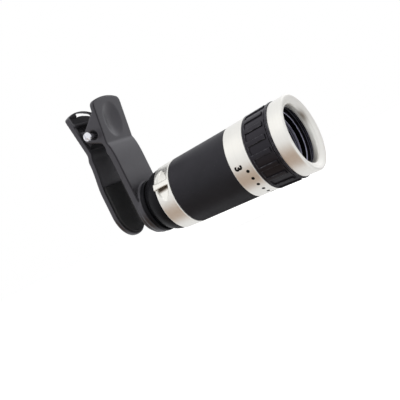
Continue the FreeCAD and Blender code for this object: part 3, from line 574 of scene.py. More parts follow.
def opened(mesh: Mesh) -> BMesh:
    """Bmesh of a mesh, which is removed."""
    bm = bmesh.new()
    bm.from_mesh(mesh)
    bpy.data.meshes.remove(mesh)
    return bm


def closed(name: str, bm: BMesh) -> Piece:
    """Piece with the mesh of a bmesh, which is freed."""
    mesh = bpy.data.meshes.new(name)
    bm.to_mesh(mesh)
    bm.free()
    return add_piece(name, mesh)


def finish_mesh(name: str, bm: BMesh, angle: float = 40.0) -> Piece:
    """Turns a bmesh into a piece with outward faces and smooth shading up to an angle.

    Args:
        name: the piece's name.
        bm: the bmesh, which is freed.
        angle: the angle in degrees past which an edge is sharp.

    Returns:
        The piece.
    """
    bmesh.ops.recalc_face_normals(bm, faces=bm.faces)
    for edge in bm.edges:
        edge.smooth = not (edge.is_manifold and edge.calc_face_angle(0.0) > math.radians(angle))
    for face in bm.faces:
        face.smooth = True
    return closed(name, bm)


def bridge(bm: BMesh, loops: Loops) -> None:
    """Joins closed loops of vertices with faces, each to the next. A loop of one vertex is a tip."""
    for near, far in zip(loops, loops[1:]):
        for a in range(len(near)):
            b = (a + 1) % len(near)
            bm.faces.new((near[a], near[b], far[b], far[a]) if len(far) > 1 else (near[a], near[b], far[0]))


def cap_ends(bm: BMesh, loops: Loops) -> None:
    """Closes the first and the last of several loops with a face each."""
    bm.faces.new(loops[0])
    bm.faces.new(list(reversed(loops[-1])))


def mark_painted_shade(piece: Piece, rule: Callable[[Vector, Vector], float]) -> None:
    """Writes how strong the painted shade is at each vertex in a mesh attribute.

    Args:
        piece: the piece.
        rule: gives the value, from 0 to 1, from a place in millimetres and its normal.
    """
    painted_shade = piece.data.attributes.new("painted_shade", "FLOAT", "POINT")
    for vert, value in zip(piece.data.vertices, painted_shade.data):
        value.value = rule(vert.co / MM, vert.normal)


@dataclass(frozen=True)
class Corner:
    """A corner of a turned outline.

    Attributes:
        station: its distance along the optical axis.
        radius: its distance from the axis.
        round: the radius of its rounding.
        wear_and_highlight: how much handling rubs it, from 0 to 1.
    """

    station: float
    radius: float
    round: float = 0.0
    wear_and_highlight: float = 1.0

    @property
    def spot(self) -> Vector:
        """Its station and radius."""
        return Vector((self.station, self.radius))


def rounded_outline(corners: Sequence[Corner], steps: int = 5) -> list[Triple]:
    """Outline of (station, radius, wear) with its corners rounded.

    Args:
        corners: the closed outline's corners in order.
        steps: parts of each rounding.

    Returns:
        The rounded outline's points, with a support point on each side of each rounding.
    """
    points: list[Triple] = []
    for index, corner in enumerate(corners):
        here = corner.spot
        if corner.round <= 0.0:
            points.append((here.x, here.y, 0.0))
            continue
        before = corners[index - 1].spot - here
        after = corners[(index + 1) % len(corners)].spot - here
        half = before.angle(after) / 2.0
        cut = min(corner.round / math.tan(half), before.length * 0.48, after.length * 0.48)
        size = cut * math.tan(half)
        centre = here + (before.normalized() + after.normalized()).normalized() * (size / math.sin(half))
        first = here + before.normalized() * cut
        last = here + after.normalized() * cut
        support = min(0.12, before.length * 0.02 + 0.02)
        lead = first + before.normalized() * support
        points.append((lead.x, lead.y, 0.0))
        for step in range(steps + 1):
            share = step / steps
            way = (first - centre).lerp(last - centre, share)
            spot = centre + way.normalized() * size
            points.append((spot.x, spot.y, corner.wear_and_highlight * math.sin(math.pi * (0.15 + 0.7 * share))))
        trail = last + after.normalized() * support
        points.append((trail.x, trail.y, 0.0))
    return points


def turned_ring(name: str, outline: Outline, places: int | Sequence[float] = 144,
                shape: Callable[[float, float, float], float] | None = None) -> Piece:
    """Ring of revolution of a closed outline about the optical axis.

    Args:
        name: the piece's name.
        outline: points of (station, radius, wear), where the wear on the cell is a painted highlight.
        places: number of even parts round the ring, or its places in degrees.
        shape: gives a new radius from an angle in degrees, a station and a radius.

    Returns:
        The ring, with its wear in the attribute corner, which on the cell is a painted highlight.
    """
    angles = [360.0 * i / places for i in range(places)] if isinstance(places, int) else places
    bm = bmesh.new()
    wear = bm.verts.layers.float.new("corner")
    loops = []
    for angle in angles:
        sine, cosine = math.sin(math.radians(angle)), math.cos(math.radians(angle))
        loop = []
        for station, radius, wear_and_highlight in outline:
            r = shape(angle, station, radius) if shape else radius
            vert = bm.verts.new((-r * sine * MM, -station * MM, r * cosine * MM))
            vert[wear] = wear_and_highlight
            loop.append(vert)
        loops.append(loop)
    bridge(bm, loops + loops[:1])
    return finish_mesh(name, bm)


# Geometry Nodes


class NodeRig:
    """A Geometry Nodes tree with named inputs, put on a piece and turned into a plain mesh."""

    def __init__(self, name: str, finish: Material, inputs: Sequence[tuple[str, str, object]]) -> None:
        """Starts the tree.

        Args:
            name: the tree's name.
            finish: the material that the result gets.
            inputs: (name, socket type, value) of each input besides the geometry and the finish.
        """
        self.tree = bpy.data.node_groups.new(name, "GeometryNodeTree")
        self.tree.interface.new_socket("Geometry", in_out="INPUT", socket_type="NodeSocketGeometry")
        self.values: dict[str, object] = {}
        for label, kind, value in (*inputs, ("Finish", "NodeSocketMaterial", finish)):
            socket = self.tree.interface.new_socket(label, in_out="INPUT", socket_type=kind)
            self.values[socket.identifier] = value
        self.tree.interface.new_socket("Geometry", in_out="OUTPUT", socket_type="NodeSocketGeometry")
        self.graph = Graph(self.tree)
        self.start = self.graph.node("NodeGroupInput")

    def close(self, geometry: Socket) -> None:
        """Ends the tree in Realize Instances and Set Material."""
        real = self.graph.node("GeometryNodeRealizeInstances", {"Geometry": geometry})
        paint = self.graph.node("GeometryNodeSetMaterial",
                                {"Geometry": real.outputs[0], "Material": self.start.outputs["Finish"]})
        self.graph.node("NodeGroupOutput", {"Geometry": paint.outputs[0]})

    def realise(self, name: str, source: Piece) -> Piece:
        """Runs the tree on a piece, which is removed, and keeps the result as a plain mesh.

        Args:
            name: the result's name.
            source: the piece whose mesh goes in.

        Returns:
            The result.
        """
        modifier = source.modifiers.new("nodes", "NODES")
        modifier.node_group = self.tree
        for identifier, value in self.values.items():
            modifier[identifier] = value
        return add_piece(name, applied(source))


def ring_pattern(name: str, count: int, pitch: float, phase: float, finish: Material) -> NodeRig:
    """Tree that repeats a piece round the optical axis.

    Args:
        name: the tree's name.
        count: how many copies.
        pitch: degrees between copies.
        phase: degrees of the first copy.
        finish: their material.

    Returns:
        The tree's rig.
    """
    rig = NodeRig(name, finish, [("Count", "NodeSocketInt", count),
                                 ("Pitch", "NodeSocketFloat", math.radians(pitch)),
                                 ("Phase", "NodeSocketFloat", math.radians(phase)),
                                 ("Seed", "NodeSocketInt", 7)])
    g, start = rig.graph, rig.start.outputs
    line = g.node("GeometryNodeMeshLine", {"Count": start["Count"], "Offset": (0.0, 0.0, 0.0)})
    turn = g.plus(g.times(g.node("GeometryNodeInputIndex").outputs[0], start["Pitch"]), start["Phase"])
    angle = g.node("ShaderNodeCombineXYZ", {"Y": g.times(turn, -1.0)})
    rotate = g.node("FunctionNodeEulerToRotation", {0: angle.outputs[0]})
    copies = g.node("GeometryNodeInstanceOnPoints", {"Points": line.outputs["Mesh"],
                                                     "Instance": start["Geometry"],
                                                     "Rotation": rotate.outputs[0]})
    rig.close(copies.outputs["Instances"])
    return rig


def wire_along(name: str, radius: float, finish: Material) -> NodeRig:
    """Tree that runs a round wire along the edges of a path.

    Args:
        name: the tree's name.
        radius: the wire's radius in millimetres.
        finish: its material.

    Returns:
        The tree's rig.
    """
    rig = NodeRig(name, finish, [("Wire Radius", "NodeSocketFloat", radius * MM),
                                 ("Sides", "NodeSocketInt", 14)])
    g, start = rig.graph, rig.start.outputs
    curve = g.node("GeometryNodeMeshToCurve", {0: start["Geometry"]})
    section = g.node("GeometryNodeCurvePrimitiveCircle", {"Resolution": start["Sides"],
                                                          "Radius": start["Wire Radius"]})
    tube = g.node("GeometryNodeCurveToMesh", {"Curve": curve.outputs[0], "Profile Curve": section.outputs[0],
                                              "Fill Caps": True})
    rig.close(g.node("GeometryNodeSetShadeSmooth", {0: tube.outputs[0]}).outputs[0])
    return rig


# The clip


@dataclass
class Clip:
    """The sprung clip: both moulded arms, the torsion spring and the jaw pads."""

    paint: Paint
    arm_width: float = 19.6
    hinge_y: float = 1.2
    hinge_z: float = 34.5
    coil_radius: float = 1.8
    wire_radius: float = 0.4
    wire_gap: float = 0.05
    turns: int = 9
    pitch: float = 0.83
    leg_length: float = 8.0
    front_lean: float = 8.4
    rear_lean: float = 8.6
    front_foot: tuple[float, float] = (-2.5, 29.4)
    rear_foot: tuple[float, float] = (8.2, 29.4)
    front_wall: float = 2.0
    rear_inner: float = 0.7
    pad_margin: float = 0.95
    pad_top: float = 14.95
    pad_thick: float = 1.38
    pad_setback: float = 0.03
    bore_radius: float = 7.08
    bore_parts: int = 96
    jaw_opening: float = 7.5
    rear_jaw_end: float = 3.3
    voxel: float = 0.26
    soft_passes: int = 5
    bulge_low: float = 21.5
    bulge_top: float = 29.4
    bulge_share: float = 0.93
    front_face: float = 3.6
    front_neck: float = 2.5
    kink_low: float = 25.5
    dimple_z: float = 37.7
    dimple_size: tuple[float, float] = (5.8, 7.0)
    dimple_extra: float = 0.5
    grip_round: float = 45.6

    def build(self) -> None:
        """Builds the clip's pieces in order."""
        self.build_arm("front_arm_moulded", Body.FRONT_ARM, self.front_painted_shade, self.front_shift)
        self.build_arm("rear_arm_moulded", Body.REAR_ARM, self.rear_painted_shade)
        self.build_spring()
        self.build_pad("front_jaw_pad", Body.FRONT_ARM, -self.pad_thick, 0.0, 0.0, self.bore_radius)
        self.build_pad("rear_jaw_pad", Body.REAR_ARM, self.jaw_opening + self.pad_thick, self.jaw_opening,
                       self.rear_jaw_end)

    def build_arm(self, name: str, body: Body, painted_shade: Callable[[Vector, Vector], float],
                  shift: Callable[[Vector], float] | None = None) -> None:
        """Makes a moulded arm from a copy of its node, with every edge softened as a mould leaves it.

        Args:
            name: the piece's name.
            body: the body that it rides on, which has the name of the CAD node.
            painted_shade: gives how strong the painted shade is at a place.
            shift: gives how far a place moves along Y, both in millimetres.
        """
        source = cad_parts[body.value]
        bm = bmesh.new()
        bm.from_mesh(source.data)
        bm.transform(source.matrix_world)
        bmesh.ops.remove_doubles(bm, verts=bm.verts, dist=1e-6)
        copy = closed("arm_copy", bm)
        remesh = copy.modifiers.new("remesh", "REMESH")
        remesh.mode = "VOXEL"
        remesh.voxel_size = self.voxel * MM
        bm = opened(applied(copy))
        if shift:
            for vert in bm.verts:
                vert.co.y += shift(vert.co / MM) * MM
        for _ in range(self.soft_passes):
            bmesh.ops.smooth_vert(bm, verts=bm.verts, factor=0.5, use_axis_x=True, use_axis_y=True,
                                  use_axis_z=True)
        arm = finish_mesh(name, bm, 75.0)
        # Painted shade of the arm, which its finish darkens where the attribute is high.
        mark_painted_shade(arm, painted_shade)
        self.paint.carry(arm, Slot.CLIP, body, body.value)

    def front_painted_shade(self, place: Vector, way: Vector) -> float:
        """Painted shade: a dark line along the front arm's rounded edge between its face and its sides.

        Args:
            place: the place.
            way: its normal.

        Returns:
            How strong the painted shade is.
        """
        above = place.z > self.grip_round
        if way.y >= 0.0 or not (above or abs(place.x) > self.arm_width / 2 - 1.0):
            return 0.0
        turn = 2.0 * abs(way.y) * math.hypot(way.x, way.z if above else 0.0)
        return 0.9 * smooth((turn - 0.45) / 0.4)

    def rear_painted_shade(self, place: Vector, way: Vector) -> float:
        """Painted shade in the rear grip's deep pocket, on faces that look towards -Y.

        Args:
            place: the place.
            way: its normal.

        Returns:
            How strong the painted shade is.
        """
        inside = place.z > self.hinge_z - 4.0 and abs(place.x) < self.arm_width / 2 - 1.2
        return smooth((-way.y - 0.3) / 0.3) if inside else 0.0

    def front_shift(self, place: Vector) -> float:
        """How far the front arm's wall moves: a deeper dimple, and one round swell below the crease.

        Args:
            place: the place.

        Returns:
            The move along Y.
        """
        lean = math.tan(math.radians(self.front_lean))
        skin = -self.front_neck - (place.z - self.bulge_top) * lean
        if place.z > self.bulge_top and place.y < skin + self.front_wall * 0.6:
            across, up = place.x / self.dimple_size[0], (place.z - self.dimple_z) / self.dimple_size[1]
            return self.dimple_extra * max(0.0, 1.0 - (across ** 2 + up ** 2)) ** 1.5
        return self.bulge_shift(place.z)

    def bulge_shift(self, z: float) -> float:
        """How far the front arm's wall moves at a height, so that it swells in one round below the crease."""
        if not self.bulge_low < z < self.bulge_top:
            return 0.0
        share = self.bulge_share * (z - self.bulge_low) / (self.bulge_top - self.bulge_low)
        face, neck = self.front_face, self.front_neck
        full = 1.0 - math.sqrt(1.0 - self.bulge_share ** 2)
        wanted = -face + (face - neck) * (1.0 - math.sqrt(1.0 - share ** 2)) / full
        if z < self.kink_low:
            return wanted + face
        reach = (self.bulge_top - self.kink_low) * 0.55
        lean = math.radians(self.front_lean)
        heights = (self.kink_low, self.kink_low + reach, self.bulge_top - reach * math.cos(lean),
                   self.bulge_top)
        depths = (-face, -face, -neck + reach * math.sin(lean), -neck)
        low, high = 0.0, 1.0
        for _ in range(24):
            mid = (low + high) / 2
            low, high = (mid, high) if cubic(heights, mid) < z else (low, mid)
        return wanted - cubic(depths, low)

    def build_spring(self) -> None:
        """Winds the torsion spring from one leg up the front grip to one up the rear grip."""
        half = self.pitch * (self.turns - 1) / 2
        pin = Vector((0.0, self.hinge_y, self.hinge_z))
        inset = self.wire_radius + self.wire_gap
        front_seat = self.leg_end(self.front_foot, -self.front_lean, self.hinge_z + self.leg_length,
                                  self.front_wall + inset)
        rear_seat = self.leg_end(self.rear_foot, self.rear_lean, self.hinge_z + self.leg_length * 0.5,
                                 self.rear_inner + inset)
        points = [Vector((-half, *front_seat))]
        steps = self.turns * 40 + 20
        for step in range(steps + 1):
            share = step / steps
            angle = math.pi + share * math.tau * (self.turns - 0.5)
            points.append(pin + Vector((-half + 2 * half * share, math.cos(angle) * self.coil_radius,
                                        -math.sin(angle) * self.coil_radius)))
        points.append(Vector((half, *rear_seat)))
        path = bpy.data.meshes.new("path")
        path.from_pydata([tuple(p * MM) for p in points], [(i, i + 1) for i in range(len(points) - 1)], [])
        rig = wire_along("spring_wire", self.wire_radius, self.paint.by_slot[Slot.SPRING])
        spring = rig.realise("spring_coil", add_piece("path", path))
        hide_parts("torsion_spring")
        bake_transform(spring)
        LOG.info("torsion spring wound")

    @staticmethod
    def leg_end(foot: tuple[float, float], lean: float, z: float, inset: float) -> Vector:
        """Place of a spring leg's end against a grip's inner face.

        Args:
            foot: (y, z) of the foot of the grip's outer face.
            lean: the grip's lean in degrees towards +Y.
            z: height of the seat on the outer face.
            inset: distance in from the outer face.

        Returns:
            (y, z) of the leg's end.
        """
        way = Vector((math.sin(math.radians(lean)), math.cos(math.radians(lean))))
        inward = Vector((way.y, -way.x)) * (1.0 if lean < 0 else -1.0)
        return Vector(foot) + way * ((z - foot[1]) / way.y) + inward * inset

    def build_pad(self, node: str, body: Body, back: float, face: float, end_z: float,
                  bore: float = 0.0) -> None:
        """Makes a soft jaw pad with a rounded edge round its face.

        Args:
            node: the CAD node that it stands for, whose name it takes.
            body: the body that it rides on.
            back: Y of its glued side.
            face: Y of its gripping side.
            end_z: height of the centre of its round lower end.
            bore: radius of its bore, or 0.
        """
        half = self.arm_width / 2 - self.pad_margin
        grip = math.copysign(1.0, back - face)
        face += grip * self.pad_setback
        outline = [(-half, end_z + (self.pad_top - end_z) * i / 40) for i in range(41)]
        outline += [(-half + 2 * half * i / 24, self.pad_top) for i in range(1, 24)]
        outline += [(half, self.pad_top - (self.pad_top - end_z) * i / 40) for i in range(41)]
        outline += [(half * math.cos(math.pi * i / 48), end_z - half * math.sin(math.pi * i / 48))
                    for i in range(1, 48)]
        bm = bmesh.new()
        rings = ((0.0, back), (0.0, face + grip * 0.25), (0.08, face + grip * 0.08), (0.25, face))
        loops = [[bm.verts.new(self.inset_point(x, z, half, end_z, inset, y)) for x, z in outline]
                 for inset, y in rings]
        bridge(bm, loops)
        circles = []
        for loop in (loops[0], loops[-1]):
            edges = [bm.edges.get((loop[a], loop[(a + 1) % len(loop)])) for a in range(len(loop))]
            if bore > 0:
                turns = [math.tau * i / self.bore_parts for i in range(self.bore_parts)]
                circle = [bm.verts.new((bore * MM * math.cos(turn), loop[0].co.y, bore * MM * math.sin(turn)))
                          for turn in turns]
                edges += [bm.edges.new(pair) for pair in zip(circle, circle[1:] + circle[:1])]
                circles.append(circle)
            bmesh.ops.triangle_fill(bm, edges=edges, use_beauty=True, use_dissolve=False)
        bridge(bm, circles)
        self.paint.carry(finish_mesh(f"{node}_soft", bm), Slot.PAD, body, node)

    def inset_point(self, x: float, z: float, half: float, end_z: float, inset: float, y: float) -> Vector:
        """Point of a pad's outline moved inwards.

        Args:
            x: place across.
            z: height.
            half: the pad's half width.
            end_z: height of the round end's centre.
            inset: distance inwards.
            y: depth.

        Returns:
            The point in metres.
        """
        scale = (half - inset) / half
        height = end_z + (z - end_z) * scale if z < end_z else min(z, self.pad_top - inset)
        return Vector((x * scale, y, height)) * MM


# The telescope


@dataclass
class Telescope:
    """The telescope's outer rings: strap ring, barrel, scale ring, focus ring and bezel."""

    paint: Paint
    tube_radius: float = 10.8
    fit: float = 0.05
    ring_parts: int = 160
    housing_front: float = 13.25
    ring_front: float = 20.25
    barrel_front: float = 46.25
    scale_front: float = 54.55
    focus_front: float = 65.45
    bezel_front: float = 71.25
    ring_rear_radius: float = 12.55
    ring_radius: float = 13.0
    ring_wall_radius: float = 11.2
    barrel_rear_radius: float = 12.9
    barrel_radius: float = 13.75
    tube_front_radius: float = 12.6
    scale_rear_radius: float = 13.85
    scale_radius: float = 14.2
    dot_station: float = 51.7
    dot_radius: float = 0.64
    dot_count: int = 20
    dot_pitch: float = 13.0
    dot_phase: float = 105.5
    dot_parts: int = 20
    numeral_station: float = 48.9
    numeral_height: float = 2.75
    numeral_weight: float = 0.22
    numerals: tuple[tuple[str, float], ...] = (("3", 96.0), ("5", 200.0), ("10", 255.0), ("20", 310.0))
    focus_rear_radius: float = 13.95
    focus_radius: float = 14.35
    rib_count: int = 18
    rib_width: float = 1.8
    rib_height: float = 0.45
    rib_round: float = 0.2
    rib_sink: float = 0.25
    rib_band: float = 1.1
    rib_phase: float = 12.0
    rib_end_gap: float = 0.8
    ring_gap: float = 0.15
    lip_length: float = 0.9
    lip_groove: float = 0.5
    groove_depth: float = 0.3
    bezel_rear_radius: float = 14.45
    bezel_radius: float = 14.65
    bezel_nose: float = 0.9
    lip_round: float = 0.55
    mouth_reach: float = 0.35
    mouth_depth: float = 1.2
    mouth_radius: float = 11.45
    throat_radius: float = 10.95
    throat_depth: float = 3.3
    # Place and size of the mouth's painted dark patch, a painted reflection.
    shade_patch_angle: float = 60.0
    shade_patch_width: float = 16.0
    shade_patch_depth: float = 1.7
    shade_patch_reach: float = 0.9
    collar_length: float = 2.2
    collar_wall: float = 0.5
    lining_wall: float = 0.35
    lining_groove: float = 0.2
    groove_count: int = 3
    shelf_depth: float = 5.2
    shelf_radius: float = 10.4
    lens_ring_front: float = 64.1
    lens_ring_length: float = 1.4
    lens_radius: float = 10.25
    lens_open: float = 9.2
    strap_angle: float = 61.0
    strap_width: float = 2.2
    strap_thick: float = 0.7
    strap_proud: float = 0.2
    strap_stations: int = 16
    strap_sides: int = 28
    pocket_rim: tuple[float, float] = (0.25, 0.55)
    pocket_floor: float = 1.35
    pocket_reach: float = 30.0
    pocket_span: float = 84.7
    pocket_parts: int = 121
    plain_parts: int = 92

    def build(self) -> None:
        """Builds the telescope's rings from rear to front."""
        self.build_strap_ring()
        self.build_sleeve("main_barrel_sleeve", Slot.BARREL, "main_barrel", self.tube_radius,
                          Corner(self.ring_front, self.barrel_rear_radius, 0.7, 0.5),
                          Corner(self.barrel_front, self.barrel_radius, 0.2, 0.8), 7)
        self.build_sleeve("scale_ring_band", Slot.SILVER, "scale_ring", self.tube_front_radius,
                          Corner(self.barrel_front, self.scale_rear_radius, 0.3),
                          Corner(self.scale_front, self.scale_radius, 0.3), 5)
        self.build_marks()
        self.build_focus_ring()
        self.build_bezel()
        self.build_lining()
        self.build_lens_ring()

    def build_strap_ring(self) -> None:
        """Makes the rear ring with its scooped pocket, and the strap bar across it."""
        rear, front = self.housing_front, self.ring_front
        raw = rounded_outline([Corner(rear, self.ring_wall_radius), Corner(rear, self.ring_rear_radius, 0.3),
                               Corner(front, self.ring_radius, 0.35), Corner(front, self.ring_wall_radius)])
        outline = []
        for (s0, r0, w0), (s1, r1, _) in zip(raw, raw[1:] + raw[:1]):
            outline.append((s0, r0, w0))
            if s1 - s0 > 3.0 and r0 > self.ring_wall_radius + 0.5:
                outline += [(s0 + (s1 - s0) * i / 44, r0 + (r1 - r0) * i / 44, 0.0) for i in range(1, 44)]
        start = self.strap_angle - 42.0
        rest = 360.0 - self.pocket_span
        angles = [start + 0.7 * i for i in range(self.pocket_parts)]
        angles += [start + self.pocket_span + rest * i / self.plain_parts for i in range(self.plain_parts)]
        ring = turned_ring("strap_ring_scooped", outline, angles, self.pocket_shape)
        # Painted shade in the pocket under the strap bar.
        mark_painted_shade(ring, self.pocket_painted_shade)
        self.paint.carry(ring, Slot.SILVER, Body.TELESCOPE, "strap_ring")
        self.paint.carry(self.strap_bar(), Slot.SILVER, Body.TELESCOPE)

    def pocket_shape(self, angle: float, station: float, radius: float) -> float:
        """Radius of the strap ring's outside, lower where the pocket is.

        Args:
            angle: degrees round the ring.
            station: distance along the axis.
            radius: the plain radius.

        Returns:
            The radius there.
        """
        off = ((angle - self.strap_angle + 180.0) % 360.0 - 180.0) / self.pocket_reach
        if radius < self.ring_wall_radius + 0.3 or abs(off) >= 1.0:
            return radius
        along = (1.0 - off * off) ** 1.5
        width = self.ring_front - self.housing_front - sum(self.pocket_rim)
        room = (station - self.housing_front - self.pocket_rim[0]) / width
        across = smooth((0.5 * along ** 0.35 - abs(room - 0.5)) / 0.16)
        return radius - self.pocket_floor * along ** 0.6 * across

    def pocket_painted_shade(self, place: Vector, _: Vector) -> float:
        """Painted shade on the pocket's floor, strongest under the bar, at a place of the ring."""
        radius = math.hypot(place.x, place.z)
        if radius <= self.ring_wall_radius - 0.1:
            return 0.0
        off = math.degrees(math.atan2(-place.x, place.z)) - self.strap_angle
        low = smooth((self.ring_rear_radius - 0.5 - radius) / 0.5)
        return 0.85 * low * (smooth((off + 3.0) / 3.0) * smooth((15.0 - off) / 7.0))

    def strap_bar(self) -> Piece:
        """Pillowed bar across the pocket."""
        bm = bmesh.new()
        wear = bm.verts.layers.float.new("corner")
        top = (self.ring_rear_radius + self.ring_radius) / 2 + self.strap_proud
        rear, front = self.housing_front - 0.15, self.ring_front - 0.3
        turn = Matrix.Rotation(math.radians(-self.strap_angle), 4, "Y")
        loops = []
        for i in range(self.strap_stations + 1):
            share = i / self.strap_stations
            station = rear + (front - rear) * share
            flare = 1.0 + 0.22 * abs(2 * share - 1) ** 3
            loop = []
            for j in range(self.strap_sides):
                way = math.tau * j / self.strap_sides
                cosine, sine = math.cos(way), math.sin(way)
                x = math.copysign(abs(cosine) ** 0.55, cosine) * self.strap_width / 2 * flare
                z = math.copysign(abs(sine) ** 0.7, sine) * self.strap_thick / 2
                vert = bm.verts.new(turn @ (Vector((x, -station, top - self.strap_thick / 2 + z)) * MM))
                vert[wear] = 0.6 if abs(cosine) > 0.7 and z > 0 else 0.0
                loop.append(vert)
            loops.append(loop)
        bridge(bm, loops)
        cap_ends(bm, loops)
        return finish_mesh("strap_bar", bm)

    def build_sleeve(self, name: str, slot: Slot, node: str, inner: float, rear: Corner, front: Corner,
                     steps: int) -> None:
        """Makes a plain sleeve of the tube.

        Args:
            name: the piece's name.
            slot: its slot.
            node: the CAD node that it stands for.
            inner: its inner radius, before the fit.
            rear: its outer rear corner.
            front: its outer front corner.
            steps: parts of each rounding.
        """
        inside = inner + self.fit
        corners = [Corner(rear.station, inside), rear, front, Corner(front.station, inside)]
        sleeve = turned_ring(name, rounded_outline(corners, steps), self.ring_parts)
        self.paint.carry(sleeve, slot, Body.TELESCOPE, node)

    def scale_radius_at(self, station: float) -> float:
        """Radius of the scale ring's outside at a station."""
        share = (station - self.barrel_front) / (self.scale_front - self.barrel_front)
        return self.scale_rear_radius + (self.scale_radius - self.scale_rear_radius) * share

    def build_marks(self) -> None:
        """Puts plain distance numerals and a row of dots round the scale ring."""
        rig = ring_pattern("scale_dots", self.dot_count, self.dot_pitch, self.dot_phase, self.paint.ink)
        dots = rig.realise("scale_dot_row", self.dot_piece())
        self.paint.carry(dots, Slot.SILVER, Body.TELESCOPE, inked=True)
        for text, angle in self.numerals:
            self.paint.carry(self.numeral(text, angle), Slot.SILVER, Body.TELESCOPE, inked=True)

    def dot_piece(self) -> Piece:
        """Thin domed dot on the scale ring at angle 0."""
        bm = bmesh.new()
        rings = []
        for share, lift in ((1.0, -0.05), (1.0, 0.012), (0.85, 0.022)):
            ring = []
            for j in range(self.dot_parts):
                way = math.tau * j / self.dot_parts
                s = self.dot_station + self.dot_radius * share * math.sin(way)
                r = self.scale_radius_at(s) + lift
                turn = self.dot_radius * share * math.cos(way) / r
                ring.append(bm.verts.new(Vector((r * math.sin(turn), -s, r * math.cos(turn))) * MM))
            rings.append(ring)
        tip = Vector((0.0, -self.dot_station, self.scale_radius_at(self.dot_station) + 0.025))
        rings.append([bm.verts.new(tip * MM)])
        bridge(bm, rings)
        bm.faces.new(list(reversed(rings[0])))
        return finish_mesh("dot", bm)

    def numeral(self, text: str, angle: float) -> Piece:
        """Plain numeral wrapped on the scale ring, read with its foot towards the barrel's far side.

        Args:
            text: the numeral.
            angle: degrees of its centre round the ring.

        Returns:
            The numeral.
        """
        curve = bpy.data.curves.new("numeral_text", "FONT")
        curve.body = text
        curve.size = self.numeral_height * 1.35
        curve.extrude = 0.03
        curve.offset = self.numeral_weight
        curve.align_x, curve.align_y = "CENTER", "CENTER"
        curve.resolution_u = 6
        holder = bpy.data.objects.new("numeral_text", curve)
        bpy.context.scene.collection.objects.link(holder)
        bm = opened(applied(holder))
        bmesh.ops.remove_doubles(bm, verts=bm.verts, dist=1e-5)
        bmesh.ops.subdivide_edges(bm, edges=[e for e in bm.edges if e.calc_length() > 0.5], cuts=2)
        for vert in bm.verts:
            across, along, lift = vert.co
            s = self.numeral_station + along
            r = self.scale_radius_at(s) + lift - 0.01
            turn = math.radians(angle + math.degrees(across / r))
            vert.co = Vector((-r * math.sin(turn), -s, r * math.cos(turn))) * MM
        return finish_mesh(f"numeral_{text}", bm, 30.0)

    def build_focus_ring(self) -> None:
        """Makes the black focus ring with its bands, groove, lip and raised ribs."""
        rear, front = self.scale_front + self.ring_gap, self.focus_front
        band = rear + self.rib_band
        inner = self.tube_front_radius + self.fit
        lip = front - self.lip_length
        groove = lip - self.lip_groove
        groove_r = self.focus_radius - self.groove_depth
        socket = front - self.collar_length - self.fit
        socket_r = inner + self.collar_wall + self.fit
        top_rear, top_front = self.focus_rear_radius + self.rib_height, self.focus_radius + self.rib_height
        ring = turned_ring("focus_ring_body", rounded_outline([
            Corner(rear, inner), Corner(rear, top_rear, 0.25), Corner(band, top_rear, 0.15),
            Corner(band + 0.12, self.focus_rear_radius, 0.1, 0.0),
            Corner(groove, self.focus_radius, 0.1, 0.4), Corner(groove + 0.02, groove_r, 0.08, 0.0),
            Corner(lip - 0.02, groove_r, 0.08, 0.0), Corner(lip, top_front, 0.15),
            Corner(front, top_front, 0.25), Corner(front, socket_r), Corner(socket, socket_r),
            Corner(socket, inner)]), self.ring_parts)
        self.paint.carry(ring, Slot.GRIP, Body.FOCUS, "focus_ring")
        rig = ring_pattern("grip_ribs", self.rib_count, 360.0 / self.rib_count, self.rib_phase,
                           self.paint.by_slot[Slot.GRIP])
        ribs = rig.realise("focus_ring_ribs", self.rib_piece(band, groove - self.rib_end_gap))
        self.paint.carry(ribs, Slot.GRIP, Body.FOCUS)

    def rib_piece(self, rear: float, front: float) -> Piece:
        """One rounded rib at angle 0.

        Args:
            rear: its rear station.
            front: its front station.

        Returns:
            The rib.
        """
        bm = bmesh.new()
        wear = bm.verts.layers.float.new("corner")
        half, soft = self.rib_width / 2, self.rib_round
        section = [(half, -0.5, 0.0), (half, self.rib_height - soft, 0.0)]
        for degrees, wear_and_highlight in ((72, 0.2), (54, 0.8), (36, 1.0), (18, 0.5), (0, 0.0)):
            way = math.radians(degrees)
            section.append((half - soft + soft * math.sin(way),
                            self.rib_height - soft + soft * math.cos(way), wear_and_highlight))
        section += [(-x, z, wear_and_highlight) for x, z, wear_and_highlight in reversed(section)]
        loops = []
        for i in range(13):
            share = i / 12
            station = rear - self.rib_sink + (front - rear + self.rib_sink) * share
            base = self.focus_rear_radius + (self.focus_radius - self.focus_rear_radius) * share
            loop = []
            for x, z, wear_and_highlight in section:
                vert = bm.verts.new(Vector((x, -station, base + z)) * MM)
                vert[wear] = wear_and_highlight
                loop.append(vert)
            loops.append(loop)
        bridge(bm, loops)
        cap_ends(bm, loops)
        return finish_mesh("rib", bm)

